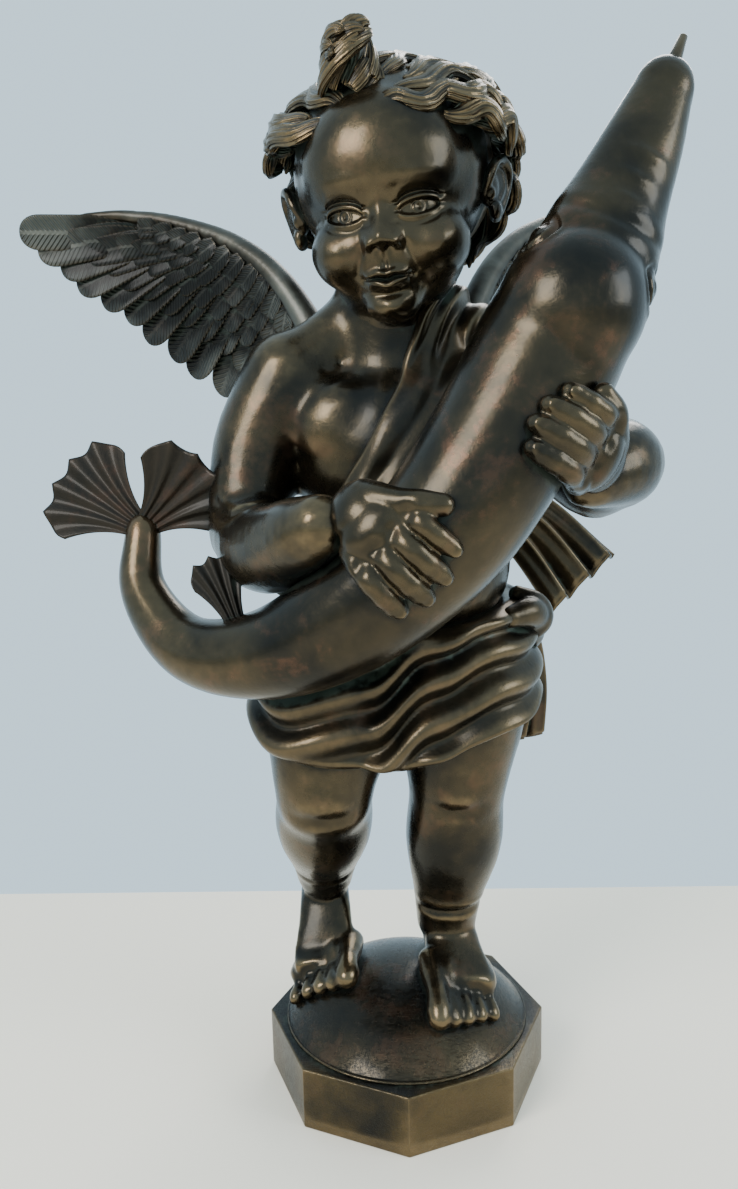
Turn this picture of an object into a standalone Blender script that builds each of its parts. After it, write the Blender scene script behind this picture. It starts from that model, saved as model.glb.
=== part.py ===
"""A bronze putto with a dolphin on an octagonal plinth, cast in three pieces: the figure
group with the dome it stands on, the plinth, and the fountain nozzle in the dolphin's snout.

The figure is modelled in figure units, sixty of them from the top of the dome to the top of its
hair, with +X towards its left hand, -Y in front of it and z = 0 at the top of the dome.
"""

from math import cos, pi, radians, sin, sqrt

import bmesh
import bpy
import numpy as np
from mathutils import Matrix, Vector
from mathutils.bvhtree import BVHTree

# Sizes that can be set by themselves, in metres
figure_height = 0.600  # top of the dome to the top of the hair
plinth_across_flats = 0.180
plinth_height = 0.042
plinth_edge_radius = 0.0012
dome_radius = 0.085
dome_height = 0.038
dome_lip = 0.0012
nozzle_length = 0.020
nozzle_spigot = 0.006  # what stands in the snout's socket
nozzle_base_radius = 0.0048
nozzle_tip_radius = 0.0024
nozzle_bore_radius = 0.0013
seat_gap = 0.0003  # between pieces that rest on each other

# The figure's carving, in figure units
units_tall = 60.0
unit = figure_height / units_tall
clay_voxel = 0.23
flesh_smoothing = 9
finish_smoothing = 2
fine_zone_keep = 0.00006  # how much dearer an edge of the face, hands or feet is to drop
figure_triangles = 8500
hair_seed = 7

apex = Vector((0, 0, plinth_height + seat_gap + dome_height))


def smooth_path(rows, count):
    """Rows of numbers read from a Catmull-Rom curve through the given rows."""
    rows = np.array(rows, float)
    ends = np.vstack([2 * rows[0] - rows[1], rows, 2 * rows[-1] - rows[-2]])
    found = []
    for t in np.linspace(0, len(rows) - 1, count):
        i = min(int(t), len(rows) - 2)
        f = t - i
        a, b, c, d = ends[i : i + 4]
        bend = 2 * a - 5 * b + 4 * c - d
        twist = 3 * b - a - 3 * c + d
        found.append(0.5 * (2 * b + (c - a) * f + bend * f**2 + twist * f**3))
    return np.array(found)


def unit_vector(v):
    v = np.array(v, float)
    return v / np.linalg.norm(v)


def unit_sphere():
    bm = bmesh.new()
    bmesh.ops.create_uvsphere(bm, u_segments=20, v_segments=12, radius=1)
    points = np.array([v.co for v in bm.verts])
    faces = [[v.index for v in face.verts] for face in bm.faces]
    bm.free()
    return points, faces


sphere_points, sphere_faces = unit_sphere()


class Clay:
    """Closed shapes that overlap, gathered to be fused into one body."""

    def __init__(self):
        self.points = []
        self.faces = []
        self.count = 0
        self.limbs = bpy.data.curves.new("limbs", "CURVE")
        self.limbs.dimensions = "3D"
        self.limbs.bevel_depth = 1
        self.limbs.bevel_resolution = 4
        self.limbs.use_fill_caps = True

    def shape(self, points, faces):
        self.faces += [[i + self.count for i in face] for face in faces]
        self.points.append(np.array(points, float))
        self.count += len(points)

    def lump(self, matrix):
        """An ellipsoid: the unit sphere under a matrix."""
        turned = np.array(matrix)
        self.shape(sphere_points @ turned[:3, :3].T + turned[:3, 3], sphere_faces)

    def ball(self, centre, radii, turn=(0, 0, 0)):
        """An ellipsoid, turned about X, Y and Z in degrees."""
        turned = Matrix.Translation(centre)
        for angle, axis in zip(turn, "XYZ"):
            turned = turned @ Matrix.Rotation(radians(angle), 4, axis)
        self.lump(turned @ Matrix.Diagonal((*radii, 1)))

    def tube(self, rows, steps=6):
        """A round limb through rows of x, y, z and radius, with round ends."""
        path = smooth_path(rows, steps * (len(rows) - 1) + 1)
        spline = self.limbs.splines.new("POLY")
        spline.points.add(len(path) - 1)
        for point, (x, y, z, r) in zip(spline.points, path):
            point.co = (x, y, z, 1)
            point.radius = max(r, 0.02)
        for x, y, z, r in (path[0], path[-1]):
            self.ball((x, y, z), (r, r, r))

    def grid(self, points, wrap=False):
        """A skin over a grid of points: each row is a closed loop, and the end rows are capped."""
        rows, count = len(points), len(points[0])
        faces = []
        for r in range(rows if wrap else rows - 1):
            here, there = r * count, (r + 1) % rows * count
            for i in range(count):
                j = (i + 1) % count
                faces.append([here + i, here + j, there + j, there + i])
        if not wrap:
            faces.append(list(range(count))[::-1])
            faces.append([(rows - 1) * count + i for i in range(count)])
        self.shape(np.array(points).reshape(-1, 3), faces)

    def ribbon(self, rows, faces, width, thickness, waves=0, depth=0):
        """A strip of cloth: rows of x, y, z and a share of the width, with the way each row faces."""
        path = smooth_path(rows, 6 * (len(rows) - 1) + 1)
        facing = smooth_path(faces, len(path))
        across = np.linspace(-1, 1, 13)
        loops = []
        for i, (x, y, z, share) in enumerate(path):
            along = unit_vector(path[min(i + 1, len(path) - 1), :3] - path[max(i - 1, 0), :3])
            side = unit_vector(np.cross(along, facing[i]))
            out = np.cross(side, along)
            grown = depth * i / (len(path) - 1)
            wave = grown * np.sin(waves * pi * across)
            middle = np.array((x, y, z)) + np.outer(across * width * share / 2, side)
            outer = middle + np.outer(wave + thickness / 2, out)
            inner = middle + np.outer(wave - thickness / 2, out)
            loops.append(np.vstack([outer, inner[::-1]]))
        self.grid(loops)

    def add(self, mesh):
        """Takes in the skin of a mesh that is fused already."""
        self.shape([v.co for v in mesh.vertices], [list(face.vertices) for face in mesh.polygons])

    def fused(self, name, voxel, smoothing, scale=1, place=(0, 0, 0)):
        """One object with the shapes joined into a single skin, its modifiers still live."""
        guide = bpy.data.objects.new("limbs", self.limbs)
        self.add(bpy.data.meshes.new_from_object(guide))
        bpy.data.objects.remove(guide)
        mesh = bpy.data.meshes.new(name)
        mesh.from_pydata(np.vstack(self.points) * scale + np.array(place), [], self.faces)
        obj = bpy.data.objects.new(name, mesh)
        bpy.context.scene.collection.objects.link(obj)
        remesh = obj.modifiers.new("Fuse", "REMESH")
        remesh.mode = "VOXEL"
        remesh.voxel_size = voxel
        remesh.use_smooth_shade = True
        soften = obj.modifiers.new("Soften", "SMOOTH")
        soften.factor = 0.5
        soften.iterations = round(smoothing)
        return obj


def evaluated_mesh(obj):
    return bpy.data.meshes.new_from_object(obj.evaluated_get(bpy.context.evaluated_depsgraph_get()))


def brush(mesh, strokes):
    """Pushes the skin along a direction near each stroke: centre, radii, push."""
    points = np.empty(len(mesh.vertices) * 3)
    mesh.vertices.foreach_get("co", points)
    points = points.reshape(-1, 3)
    moved = points.copy()
    for centre, radii, push in strokes:
        reach = (((points - centre) / radii) ** 2).sum(1)
        moved += np.exp(-reach)[:, None] * np.array(push, float)
    mesh.vertices.foreach_set("co", moved.reshape(-1))


# The dome and where feet meet it

def dome_drop(x, y):
    """How far the dome's surface lies below its top, in figure units."""
    ball = (dome_radius**2 + dome_height**2) / (2 * dome_height)
    reach = min((x * x + y * y) * unit**2, dome_radius**2)
    return (ball - sqrt(ball**2 - reach)) / unit


# The head, in its own frame: the middle of the skull, with x, y and z as the figure's

head_centre = Vector((0.0, -0.8, 51.0))
head_size = 1.06
head_turn = Matrix.Rotation(radians(-9), 4, "Z") @ Matrix.Rotation(radians(10), 4, "X")
head_turn = head_turn @ Matrix.Rotation(radians(-5), 4, "Y")
head_frame = Matrix.Translation(head_centre) @ head_turn @ Matrix.Scale(head_size, 4)
scalp = np.array((6.1, 6.6, 5.9))
scalp_centre = np.array((0, 1.1, 1.0))
tuft_pole = np.array((-0.05, -0.6, 0.8))


def on_head(point):
    return np.array(head_frame @ Vector(point))


def head_masses(clay):
    def lump(centre, radii):
        clay.lump(head_frame @ Matrix.Translation(centre) @ Matrix.Diagonal((*radii, 1)))

    lump((0, 1.0, 1.3), (5.7, 6.3, 5.8))
    lump((0, -1.8, 1.6), (4.7, 4.0, 4.3))
    lump((0, -1.2, -2.3), (4.3, 4.4, 4.2))
    for side in (-1, 1):
        lump((side * 2.25, -2.7, -2.6), (2.3, 2.5, 2.2))
    lump((0, -4.15, -5.45), (1.65, 1.5, 1.3))
    lump((0, -4.3, -3.6), (1.9, 1.4, 1.6))


def face_strokes():
    """Hollows and swellings of a calm child's face."""
    forward = head_frame.to_3x3() @ Vector((0, -1, 0))

    def stroke(centre, radii, push):
        return on_head(centre), np.array(radii), np.array(forward) * push

    return [
        stroke((-2.05, -5.3, -0.65), (1.35, 1.8, 0.85), -0.95),
        stroke((2.05, -5.3, -0.65), (1.35, 1.8, 0.85), -0.95),
        stroke((0, -5.6, -0.3), (0.8, 1.6, 1.2), -0.25),
        stroke((0, -5.4, -5.15), (1.4, 1.4, 0.4), -0.45),
    ]


def face_features(clay):
    def lump(centre, radii, turn=0):
        turned = Matrix.Rotation(radians(turn), 4, "Y") @ Matrix.Diagonal((*radii, 1))
        clay.lump(head_frame @ Matrix.Translation(centre) @ turned)

    for side in (-1, 1):
        lump((side * 2.05, -4.4, -0.75), (1.1, 0.95, 0.6))
        clay.tube([(*on_head((side * x, y, z)), r) for x, y, z, r in (
            (0.95, -4.95, 0.35, 0.4), (2.1, -4.95, 0.75, 0.45), (3.3, -4.2, 0.45, 0.4))], 3)
        lump((side * 0.66, -5.55, -2.4), (0.52, 0.6, 0.42))
        lump((side * 0.7, -5.2, -4.0), (0.85, 0.55, 0.3), side * 12)
    lump((0, -5.6, -2.2), (0.72, 0.8, 0.6))
    lump((0, -5.3, -1.2), (0.45, 0.62, 1.1))
    lump((0, -5.3, -4.5), (0.9, 0.58, 0.36))


def ears(clay):
    for side in (-1, 1):
        rim = [(side * x, y, z, r) for x, y, z, r in (
            (5.3, -0.6, -0.9, 0.35), (5.9, -0.3, 0.5, 0.42), (6.3, 0.6, 1.0, 0.45), (6.5, 1.4, 0.2, 0.42),
            (6.2, 1.2, -1.0, 0.42), (5.7, 0.4, -1.9, 0.45), (5.2, -0.2, -2.2, 0.4))]
        clay.tube([(*on_head(row[:3]), row[3]) for row in rim], 4)
        shell = Matrix.Translation((side * 5.6, 0.4, -0.3)) @ Matrix.Diagonal((0.45, 1.0, 1.4, 1))
        clay.lump(head_frame @ shell)


def scalp_point(direction, lift):
    return on_head(scalp_centre + scalp * direction + unit_vector(direction) * lift)


def hair_flow(d):
    """The way the hair is combed at a place on the scalp: off the tuft to both sides, then back and down."""
    t = min(1, max(0, (d[1] + 0.1) / 0.9))
    down = t * t * (3 - 2 * t)
    return (d - tuft_pole) * (1 - down) + np.array((0, 0.85 - 0.75 * down, -0.1 - 0.9 * down))


def lock_rows(start, length, thick, curl, wave, raised):
    """A lock of hair: it lies along the scalp with a wave, then lifts and curls at its end."""
    here = unit_vector(start)
    rows = []
    steps = 9
    for i in range(steps):
        t = i / (steps - 1)
        flow = hair_flow(here)
        ahead = unit_vector(flow - np.dot(flow, here) * here)
        side = np.cross(here, ahead)
        bend = wave * sin(2 * pi * t * 1.3)
        lift = raised + 0.35 * sin(pi * t) + curl * max(0, t - 0.65) ** 2 * 5
        full = 0.65 + 0.5 * sin(pi * min(1, t * 1.2)) - 0.45 * t
        rows.append((*scalp_point(here + side * bend, lift), thick * full))
        here = unit_vector(here + ahead * length / (steps - 1) / 6.3)
    return rows


def hair_locks():
    """Waved locks swept back from the brow over the whole scalp, and a tuft above it."""
    random = np.random.default_rng(hair_seed)
    locks = []
    total = 130
    for i in range(total):
        up = 1 - 2 * (i + 0.5) / total
        around = i * pi * (3 - sqrt(5))
        d = np.array((sqrt(1 - up * up) * sin(around), -sqrt(1 - up * up) * cos(around), up))
        front = max(0, -d[1])
        hairline = 0.62 * front + 0.05 - 0.8 * max(0, d[1])
        over_ear = abs(d[0]) > 0.86 and d[2] < 0.3 and d[1] < 0.1
        if d[2] < hairline or over_ear:
            continue
        length, thick, curl = random.uniform(4.2, 5.6), random.uniform(0.7, 0.9), random.uniform(0.4, 1.5)
        wave, raised = random.uniform(-0.11, 0.11), random.uniform(0.1, 0.8)
        locks.append(lock_rows(d, length, thick, curl, wave, raised))
    return locks


def tuft_locks():
    """A short tuft of curls that stands up over the brow."""
    locks = []
    for lean, rise, size in ((-1.3, 1.9, 0.8), (-0.5, 2.6, 0.95), (0.4, 2.5, 0.95), (1.2, 1.8, 0.8)):
        root = np.array((0.4 * lean, -2.9, 6.1))
        rows = [
            (*on_head(root), size),
            (*on_head(root + (0.3 * lean, -0.5, 0.5 * rise)), size),
            (*on_head(root + (0.7 * lean, -0.4, 0.9 * rise)), 0.8 * size),
            (*on_head(root + (1.1 * lean, 0.5, rise)), 0.5 * size),
        ]
        locks.append(rows)
    return locks


# The dolphin and what lies on it

dolphin_rows = [
    (-16.6, -0.6, 31.0, 1.2), (-16.4, -2.2, 27.2, 1.55), (-13.0, -5.0, 24.0, 2.1), (-7.8, -7.4, 24.2, 2.8),
    (-2.6, -9.2, 27.0, 3.5), (2.3, -9.6, 31.5, 4.0), (6.0, -8.8, 36.8, 4.15), (8.6, -8.0, 41.6, 4.2),
    (10.6, -7.2, 45.6, 3.5), (12.2, -6.4, 49.0, 2.6), (13.8, -5.6, 52.4, 2.05), (15.0, -5.0, 55.2, 1.55)]
dolphin_path = smooth_path(dolphin_rows, 12 * (len(dolphin_rows) - 1) + 1)
nozzle_seat = 1.05  # the nozzle's foot over the path's end, as a share of the snout's radius there
jaws = (  # first and last share, shift to the front, half width and half height as shares of the radius, tip
    (0.70, 1.0, 0.34, 1.10, 0.80, 2.0),
    (0.70, 0.955, -0.52, 0.92, 0.62, 1.3))
brow_folds = (0.800, 0.834, 0.868)
fluke_size = {"spread": 37, "ribs": 5, "depth": 0.13, "scallop": 0.05, "cup": 0.35, "thick": 0.9}
fin_size = {"spread": 22, "ribs": 4, "depth": 0.1, "scallop": 0.08, "cup": 0, "thick": 0.9}


def dolphin_frame(share):
    """Centre, radius and the along, front and side directions at a share of the dolphin's length."""
    at = share * (len(dolphin_path) - 1)
    i = min(int(at), len(dolphin_path) - 2)
    row = dolphin_path[i] + (dolphin_path[i + 1] - dolphin_path[i]) * (at - i)
    along = unit_vector(dolphin_path[min(i + 2, len(dolphin_path) - 1), :3] - dolphin_path[max(i - 1, 0), :3])
    front = unit_vector(np.array((0, -1, 0)) + along[1] * along)
    return row[:3], row[3], along, front, np.cross(along, front)


def on_dolphin(share, angle, lift):
    """A point at an angle round the dolphin, from its front towards its lower right side."""
    centre, radius, _, front, side = dolphin_frame(share)
    return centre + (radius + lift) * (front * cos(radians(angle)) + side * sin(radians(angle)))


def jaw(clay, first, last, shift, wide, high, tip):
    """One of the snout's two jaws: oval sections along the path, closing to a round tip."""
    loops = []
    angles = np.linspace(0, 2 * pi, 24, endpoint=False)
    stations = [(share, 0, min(1, 0.84 + 2 * (share - first))) for share in np.linspace(first, last, 14)]
    stations += [(last, tip * sin(a), max(cos(a), 0.05)) for a in np.linspace(0.2, pi / 2, 6)]
    for share, past, scale in stations:
        centre, radius, along, front, side = dolphin_frame(share)
        middle = centre + along * past + front * (shift * radius)
        ring = np.cos(angles)[:, None] * side * wide + np.sin(angles)[:, None] * front * high
        loops.append(middle + ring * radius * scale)
    clay.grid(loops)


def fan(clay, root, ahead, facing, length, size):
    """A ribbed fin that widens like a fan, with a scalloped edge."""
    ahead = unit_vector(ahead)
    across = unit_vector(np.cross(ahead, facing))
    out = np.cross(across, ahead)
    ribs = size["ribs"]
    q = np.linspace(-1, 1, 6 * ribs + 1)
    loops = []
    for t in np.linspace(0, 1, 14):
        angle = q * radians(size["spread"]) * (0.5 + 0.5 * t)
        scallop = size["scallop"] * t**3 * np.abs(np.sin(ribs * pi * (q + 1) / 2))
        reach = length * t * (1 - scallop - 0.06 * q * q)
        flat = reach[:, None] * (np.cos(angle)[:, None] * ahead + np.sin(angle)[:, None] * across)
        narrow = 0.55 * (1 - t) ** 2 * q[:, None] * across
        wave = size["depth"] * t**0.6 * np.cos(ribs * pi * (q + 1)) + size["cup"] * (q * q) * t
        half = size["thick"] * (1 - 0.4 * t) / 2 + 0 * q
        outer = np.array(root) + flat + narrow + out * (wave + half)[:, None]
        inner = np.array(root) + flat + narrow + out * (wave - half)[:, None]
        loops.append(np.vstack([outer, inner[::-1]]))
    clay.grid(loops)


def dolphin(clay):
    clay.tube(dolphin_rows, 12)
    centre, _, along, front, side = dolphin_frame(0.675)
    brow = Matrix((side, front, along)).transposed().to_4x4() @ Matrix.Diagonal((4.1, 4.1, 4.5, 1))
    clay.lump(Matrix.Translation(centre + front * 1.0) @ brow)
    for turn in (-1, 1):
        centre, _, along, front, side = dolphin_frame(0.722)
        clay.ball(centre + side * turn * 3.0 + front * 2.0, (0.75, 0.75, 0.75))
    for shape in jaws:
        jaw(clay, *shape)
    for share in brow_folds:
        fold = []
        for angle in (-50, -20, 12, 44, 74):
            lift = 0.06 - 0.42 * abs((angle - 12) / 62) ** 3
            fold.append((*on_dolphin(share, angle, lift), 0.42))
        clay.tube(fold, 3)
    tip, radius, along, _, _ = dolphin_frame(1.0)
    clay.ball(tip + along * (radius * nozzle_seat - 0.7), (0.85, 0.85, 0.85))
    root = dolphin_path[0, :3]
    for turn, length in ((-1, 7.6), (1, 7.2)):
        ahead = np.array((-0.1 + turn * 0.8, -0.2 * turn, 0.62))
        fan(clay, root - ahead * 0.7, ahead, (0.15, -1, 0.1), length, fluke_size)
    base, peak = on_dolphin(0.25, -82, -1.6), on_dolphin(0.18, -82, 3.6)
    fan(clay, base, peak - base, (0.1, -1, 0.1), 5.6, fin_size)


# Limbs

def torso(clay):
    clay.ball((0.1, 0.7, 35.6), (6.9, 5.2, 6.4))
    clay.ball((0.4, -0.8, 28.6), (6.9, 6.0, 5.9))
    clay.ball((0.4, 0.6, 23.6), (7.0, 5.3, 4.7))
    for side in (-1, 1):
        clay.ball((0.4 + side * 3.2, 3.4, 22.0), (3.7, 3.5, 3.8))
        clay.ball((0.1 + side * 2.9, -1.8, 37.2), (3.5, 2.0, 3.2))
        clay.ball((0.1 + side * 3.9, 4.2, 38.4), (2.8, 1.6, 3.4))
        clay.tube([(side * 1.4, 1.6, 44.6, 2.4), (side * 3.8, 1.1, 42.8, 2.2), (side * 6.4, 0.6, 40.6, 2.7)])
    clay.tube([(0.1, 1.6, 41.0, 4.0), (0.1, 1.2, 44.0, 3.7), (0.0, 0.9, 48.0, 3.8)])


def legs(clay):
    """The left leg carries the weight; the right one is bent, with its heel off the ground."""
    clay.tube([(3.6, 0.5, 23.0, 4.6), (3.9, -0.1, 18.6, 4.6), (3.8, -0.5, 14.8, 3.7), (3.7, -0.4, 12.8, 3.3)])
    clay.tube([(3.7, -0.4, 13.0, 3.2), (3.5, 0.5, 8.8, 3.4), (3.1, 0.9, 4.8, 2.5), (3.0, 1.1, 2.6, 2.2)])
    clay.tube([
        (-3.3, 0.2, 22.8, 4.7), (-4.5, -1.0, 18.8, 4.7), (-5.1, -2.0, 15.0, 3.7), (-5.2, -2.2, 13.4, 3.3)])
    clay.tube([
        (-5.2, -2.0, 13.8, 3.2), (-5.5, 0.6, 10.0, 3.4), (-5.7, 3.0, 6.6, 2.5), (-5.8, 3.9, 4.8, 2.15)])
    clay.ball((3.7, -2.5, 13.6), (2.0, 1.6, 2.0))
    clay.ball((-5.2, -4.4, 14.0), (2.0, 1.5, 2.0))


feet = (  # heel, ball of the foot, heading in degrees, side of the big toe
    ((3.0, 2.2, 1.5), (3.6, -2.6), 10, -1),
    ((-5.9, 4.9, 3.2), (-5.7, 0.9), -6, 1))


def foot(clay, heel, ball, heading, inner):
    """A chubby foot: rounded sections from heel to ball, with its toes laid on the dome."""
    ahead = unit_vector((sin(radians(heading)), -cos(radians(heading)), 0))
    across = inner * np.array((cos(radians(heading)), sin(radians(heading)), 0))
    heel = np.array(heel)
    middle = np.array((*ball, 0.95 - dome_drop(*ball)))
    front = middle + ahead * 0.9 - (0, 0, 0.25)
    rows = smooth_path([  # centre, half the width and half the height
        (*(heel + ahead * -1.6), 0.5, 0.6), (*(heel + ahead * -1.2), 1.3, 1.25), (*heel, 1.75, 1.65),
        (*(heel * 0.62 + middle * 0.38 + (0, 0, 0.45)), 1.9, 1.85),
        (*(heel * 0.35 + middle * 0.65 + (0, 0, 0.3)), 2.05, 1.5),
        (*(heel * 0.12 + middle * 0.88 + (0, 0, 0.1)), 2.3, 1.12),
        (*middle, 2.35, 0.95), (*front, 2.15, 0.66)], 18)
    angles = np.linspace(0, 2 * pi, 18, endpoint=False)
    loops = []
    for x, y, z, wide, high in rows:
        up = high * np.sign(np.sin(angles)) * np.abs(np.sin(angles)) ** np.where(np.sin(angles) < 0, 0.6, 1)
        ring = np.outer(wide * np.cos(angles), across) + np.outer(up, (0, 0, 1))
        loops.append(np.array((x, y, z)) + ring)
    clay.grid(loops)
    for i in range(5):
        out = 1.72 - 0.88 * i
        radius = (0.86, 0.6, 0.56, 0.52, 0.5)[i]
        reach = (2.7, 2.6, 2.35, 2.0, 1.6)[i]
        root = np.array((*ball, 0)) + across * out
        knuckle = root + ahead * reach * 0.5
        tip = root + ahead * reach + across * out * 0.12
        toe = [(*root[:2], 0.95 - dome_drop(*root[:2]), 0.92)]
        toe.append((*knuckle[:2], radius * 1.18 - dome_drop(*knuckle[:2]), radius * 0.86))
        toe.append((*tip[:2], radius * 0.8 - dome_drop(*tip[:2]), radius))
        clay.tube(toe)


def arms(clay):
    clay.tube([
        (-6.8, 0.7, 40.4, 3.1), (-8.8, 0.3, 36.4, 3.05), (-9.6, -0.9, 32.6, 2.65), (-9.6, -1.8, 30.8, 2.55)])
    wrist = on_dolphin(0.395, -72, 1.7)
    middle = wrist * 0.6 + np.array((-6.8, -7.6, 30.6)) * 0.4
    clay.tube([(-9.6, -1.8, 31.0, 2.55), (-7.9, -5.4, 30.2, 2.8), (*middle, 2.3), (*wrist, 1.85)])
    clay.tube([
        (6.9, 0.7, 40.2, 3.1), (9.6, 0.4, 36.8, 3.0), (11.9, -1.2, 34.2, 2.65), (12.4, -2.2, 33.8, 2.55)])
    wrist = on_dolphin(0.552, 98, 1.5)
    middle = wrist * 0.75 + np.array((13.6, -5.4, 35.2)) * 0.25
    clay.tube([(12.4, -2.2, 33.9, 2.55), (13.2, -5.0, 34.9, 2.7), (*middle, 2.15), (*wrist, 1.8)])


hands = (  # share of the dolphin's length, angles from wrist to finger tips, spread, reach of the thumb
    (0.428, (-72, 18), 0.0168, 0.042),
    (0.562, (98, 8), 0.0168, 0.04))
finger_rows = (  # share of the finger's reach, lift off the dolphin, radius
    (0.34, 0.7, 0.74), (0.55, 0.92, 0.74), (0.72, 0.98, 0.72), (0.88, 0.66, 0.68), (1.0, 0.4, 0.58))


def hand(clay, share, angles, spread, thumb):
    """A child's padded hand laid on the dolphin."""
    swing = angles[1] - angles[0]

    def spot(along, turn, lift):
        return on_dolphin(along, angles[0] + swing * turn, lift)

    def pad(turn, lift, radii):
        _, _, ahead, front, side = dolphin_frame(share)
        a = radians(angles[0] + swing * turn)
        out = front * cos(a) + side * sin(a)
        frame = Matrix((ahead, np.cross(out, ahead), out)).transposed().to_4x4()
        clay.lump(Matrix.Translation(spot(share, turn, lift)) @ frame @ Matrix.Diagonal((*radii, 1)))

    pad(0.14, 1.2, (1.8, 1.9, 1.25))
    pad(0.32, 1.05, (2.0, 1.7, 1.1))
    pad(0.44, 0.85, (2.05, 1.2, 0.85))
    for i in range(4):
        step = (i - 1.5) * spread
        reach = (0.93, 1.0, 0.98, 0.89)[i]
        rows = []
        for t, lift, size in finger_rows:
            rows.append((*spot(share + step * (0.9 + 0.14 * t), t * reach, lift), size))
        clay.tube(rows, 4)
    rows = []
    for t, lift, size in zip((0, 0.35, 0.7, 1), (1.2, 1.05, 0.88, 0.5), (1.15, 0.92, 0.82, 0.62)):
        rows.append((*spot(share + thumb * (0.2 + 0.8 * t), 0.12 + 0.5 * t, lift), size))
    clay.tube(rows)


# Wings

wing_edge = [
    (0, 0), (1.7, 3.1), (3.8, 6.5), (6.6, 9.5), (10.2, 11.7), (14.2, 13.1), (18.2, 14.0), (22.0, 14.4)]
wing_root = np.array((3.2, 4.8, 39.0))
wing_sweep = {-1: 38, 1: 56}  # right and left, in degrees back from straight out
feather_turns = ((0, 0.4, 0.46, 1), (-98, -70, -54, 0))  # shares along the wing and angles from outwards
feather_rows = (  # count, first and last place on the edge, length at root and tip, width, lift
    (15, 3, 37, (9.2, 10.4), 3.4, 0.0),
    (14, 2, 33, (6.0, 7.2), 3.0, 0.34),
    (12, 1, 28, (3.8, 4.5), 2.7, 0.64))


def wing_point(side, u, v, w):
    """A point on a wing: u outwards, v upwards and w off its face."""
    sweep = radians(wing_sweep[side])
    x = u * cos(sweep) + w * sin(sweep)
    y = u * sin(sweep) - w * cos(sweep) - 0.012 * u * u
    return np.array((side * (wing_root[0] + x), wing_root[1] + y, wing_root[2] + v))


def wing_feathers():
    """Rows of (root u, root v, angle in degrees, length, width, lift), the angle from outwards to down."""
    edge = smooth_path(wing_edge, 41)
    feathers = []
    for row, (count, low, high, length, width, lift) in enumerate(feather_rows):
        for i in range(count):
            t = i / (count - 1)
            u, v = edge[int(low + (high - low) * t)]
            angle = np.interp(t, *feather_turns)
            long = length[0] + (length[1] - length[0]) * t
            drop = 0.9 + 0.4 * row + 0.2 * width * t**1.5
            feathers.append((u + 0.2, v - drop, angle, long, width * (1 - 0.2 * t), lift))
    return feathers


def wing(clay, side):
    edge = smooth_path(wing_edge, 12)
    rows = []
    for i, (u, v) in enumerate(edge):
        share = i / (len(edge) - 1)
        rows.append((*wing_point(side, u, v - 0.5, 0.2), 1.3 - 0.8 * share))
    clay.tube([(side * 2.2, 3.8, 37.0, 1.8), *rows], 3)
    upper = [(*wing_point(side, 0.2, -0.6, 0.1), 1.9), (*wing_point(side, 1.6, 1.4, 0.2), 1.6)]
    clay.tube([(side * 2.4, 2.6, 39.5, 2.2), *upper])
    lower = [(*wing_point(side, 0.4, -3.4, 0.2), 1.3), (*wing_point(side, 1.6, -1.4, 0.2), 1.1)]
    clay.tube([(side * 2.6, 2.8, 35.5, 1.8), *lower])
    for u, v, angle, long, width, lift in wing_feathers():
        du, dv = cos(radians(angle)), sin(radians(angle))
        ends = []
        for t in (0.0, 0.4, 0.8, 0.95, 1.0):
            ends.append(wing_point(side, u + du * long * t, v + dv * long * t, lift))
        facing = wing_point(side, u, v, 1) - wing_point(side, u, v, 0)
        shares = (0.75, 1.0, 0.97, 0.72, 0.3)
        clay.ribbon([(*p, s) for p, s in zip(ends, shares)], [facing] * 5, width, 0.6)


# Cloth

def sash(clay, skin):
    """A strip of cloth from the left shoulder over the chest to the right hip."""
    rows, faces = [], []
    for point in ((4.6, 5.4, 36.5), (4.9, 4.4, 40.6), (4.4, 1.4, 43.4), (3.6, -2.4, 42.4), (2.2, -5.0, 38.8),
                  (-0.6, -5.9, 34.0), (-4.2, -5.4, 29.4), (-7.2, -2.4, 26.2), (-7.8, 1.4, 24.6)):
        found, normal, _, _ = skin.find_nearest(Vector(point))
        rows.append((*(found + normal * 0.1), 1.0))
        faces.append(tuple(normal))
    clay.ribbon(rows, faces, 4.8, 1.3, waves=3, depth=0.2)


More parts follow.
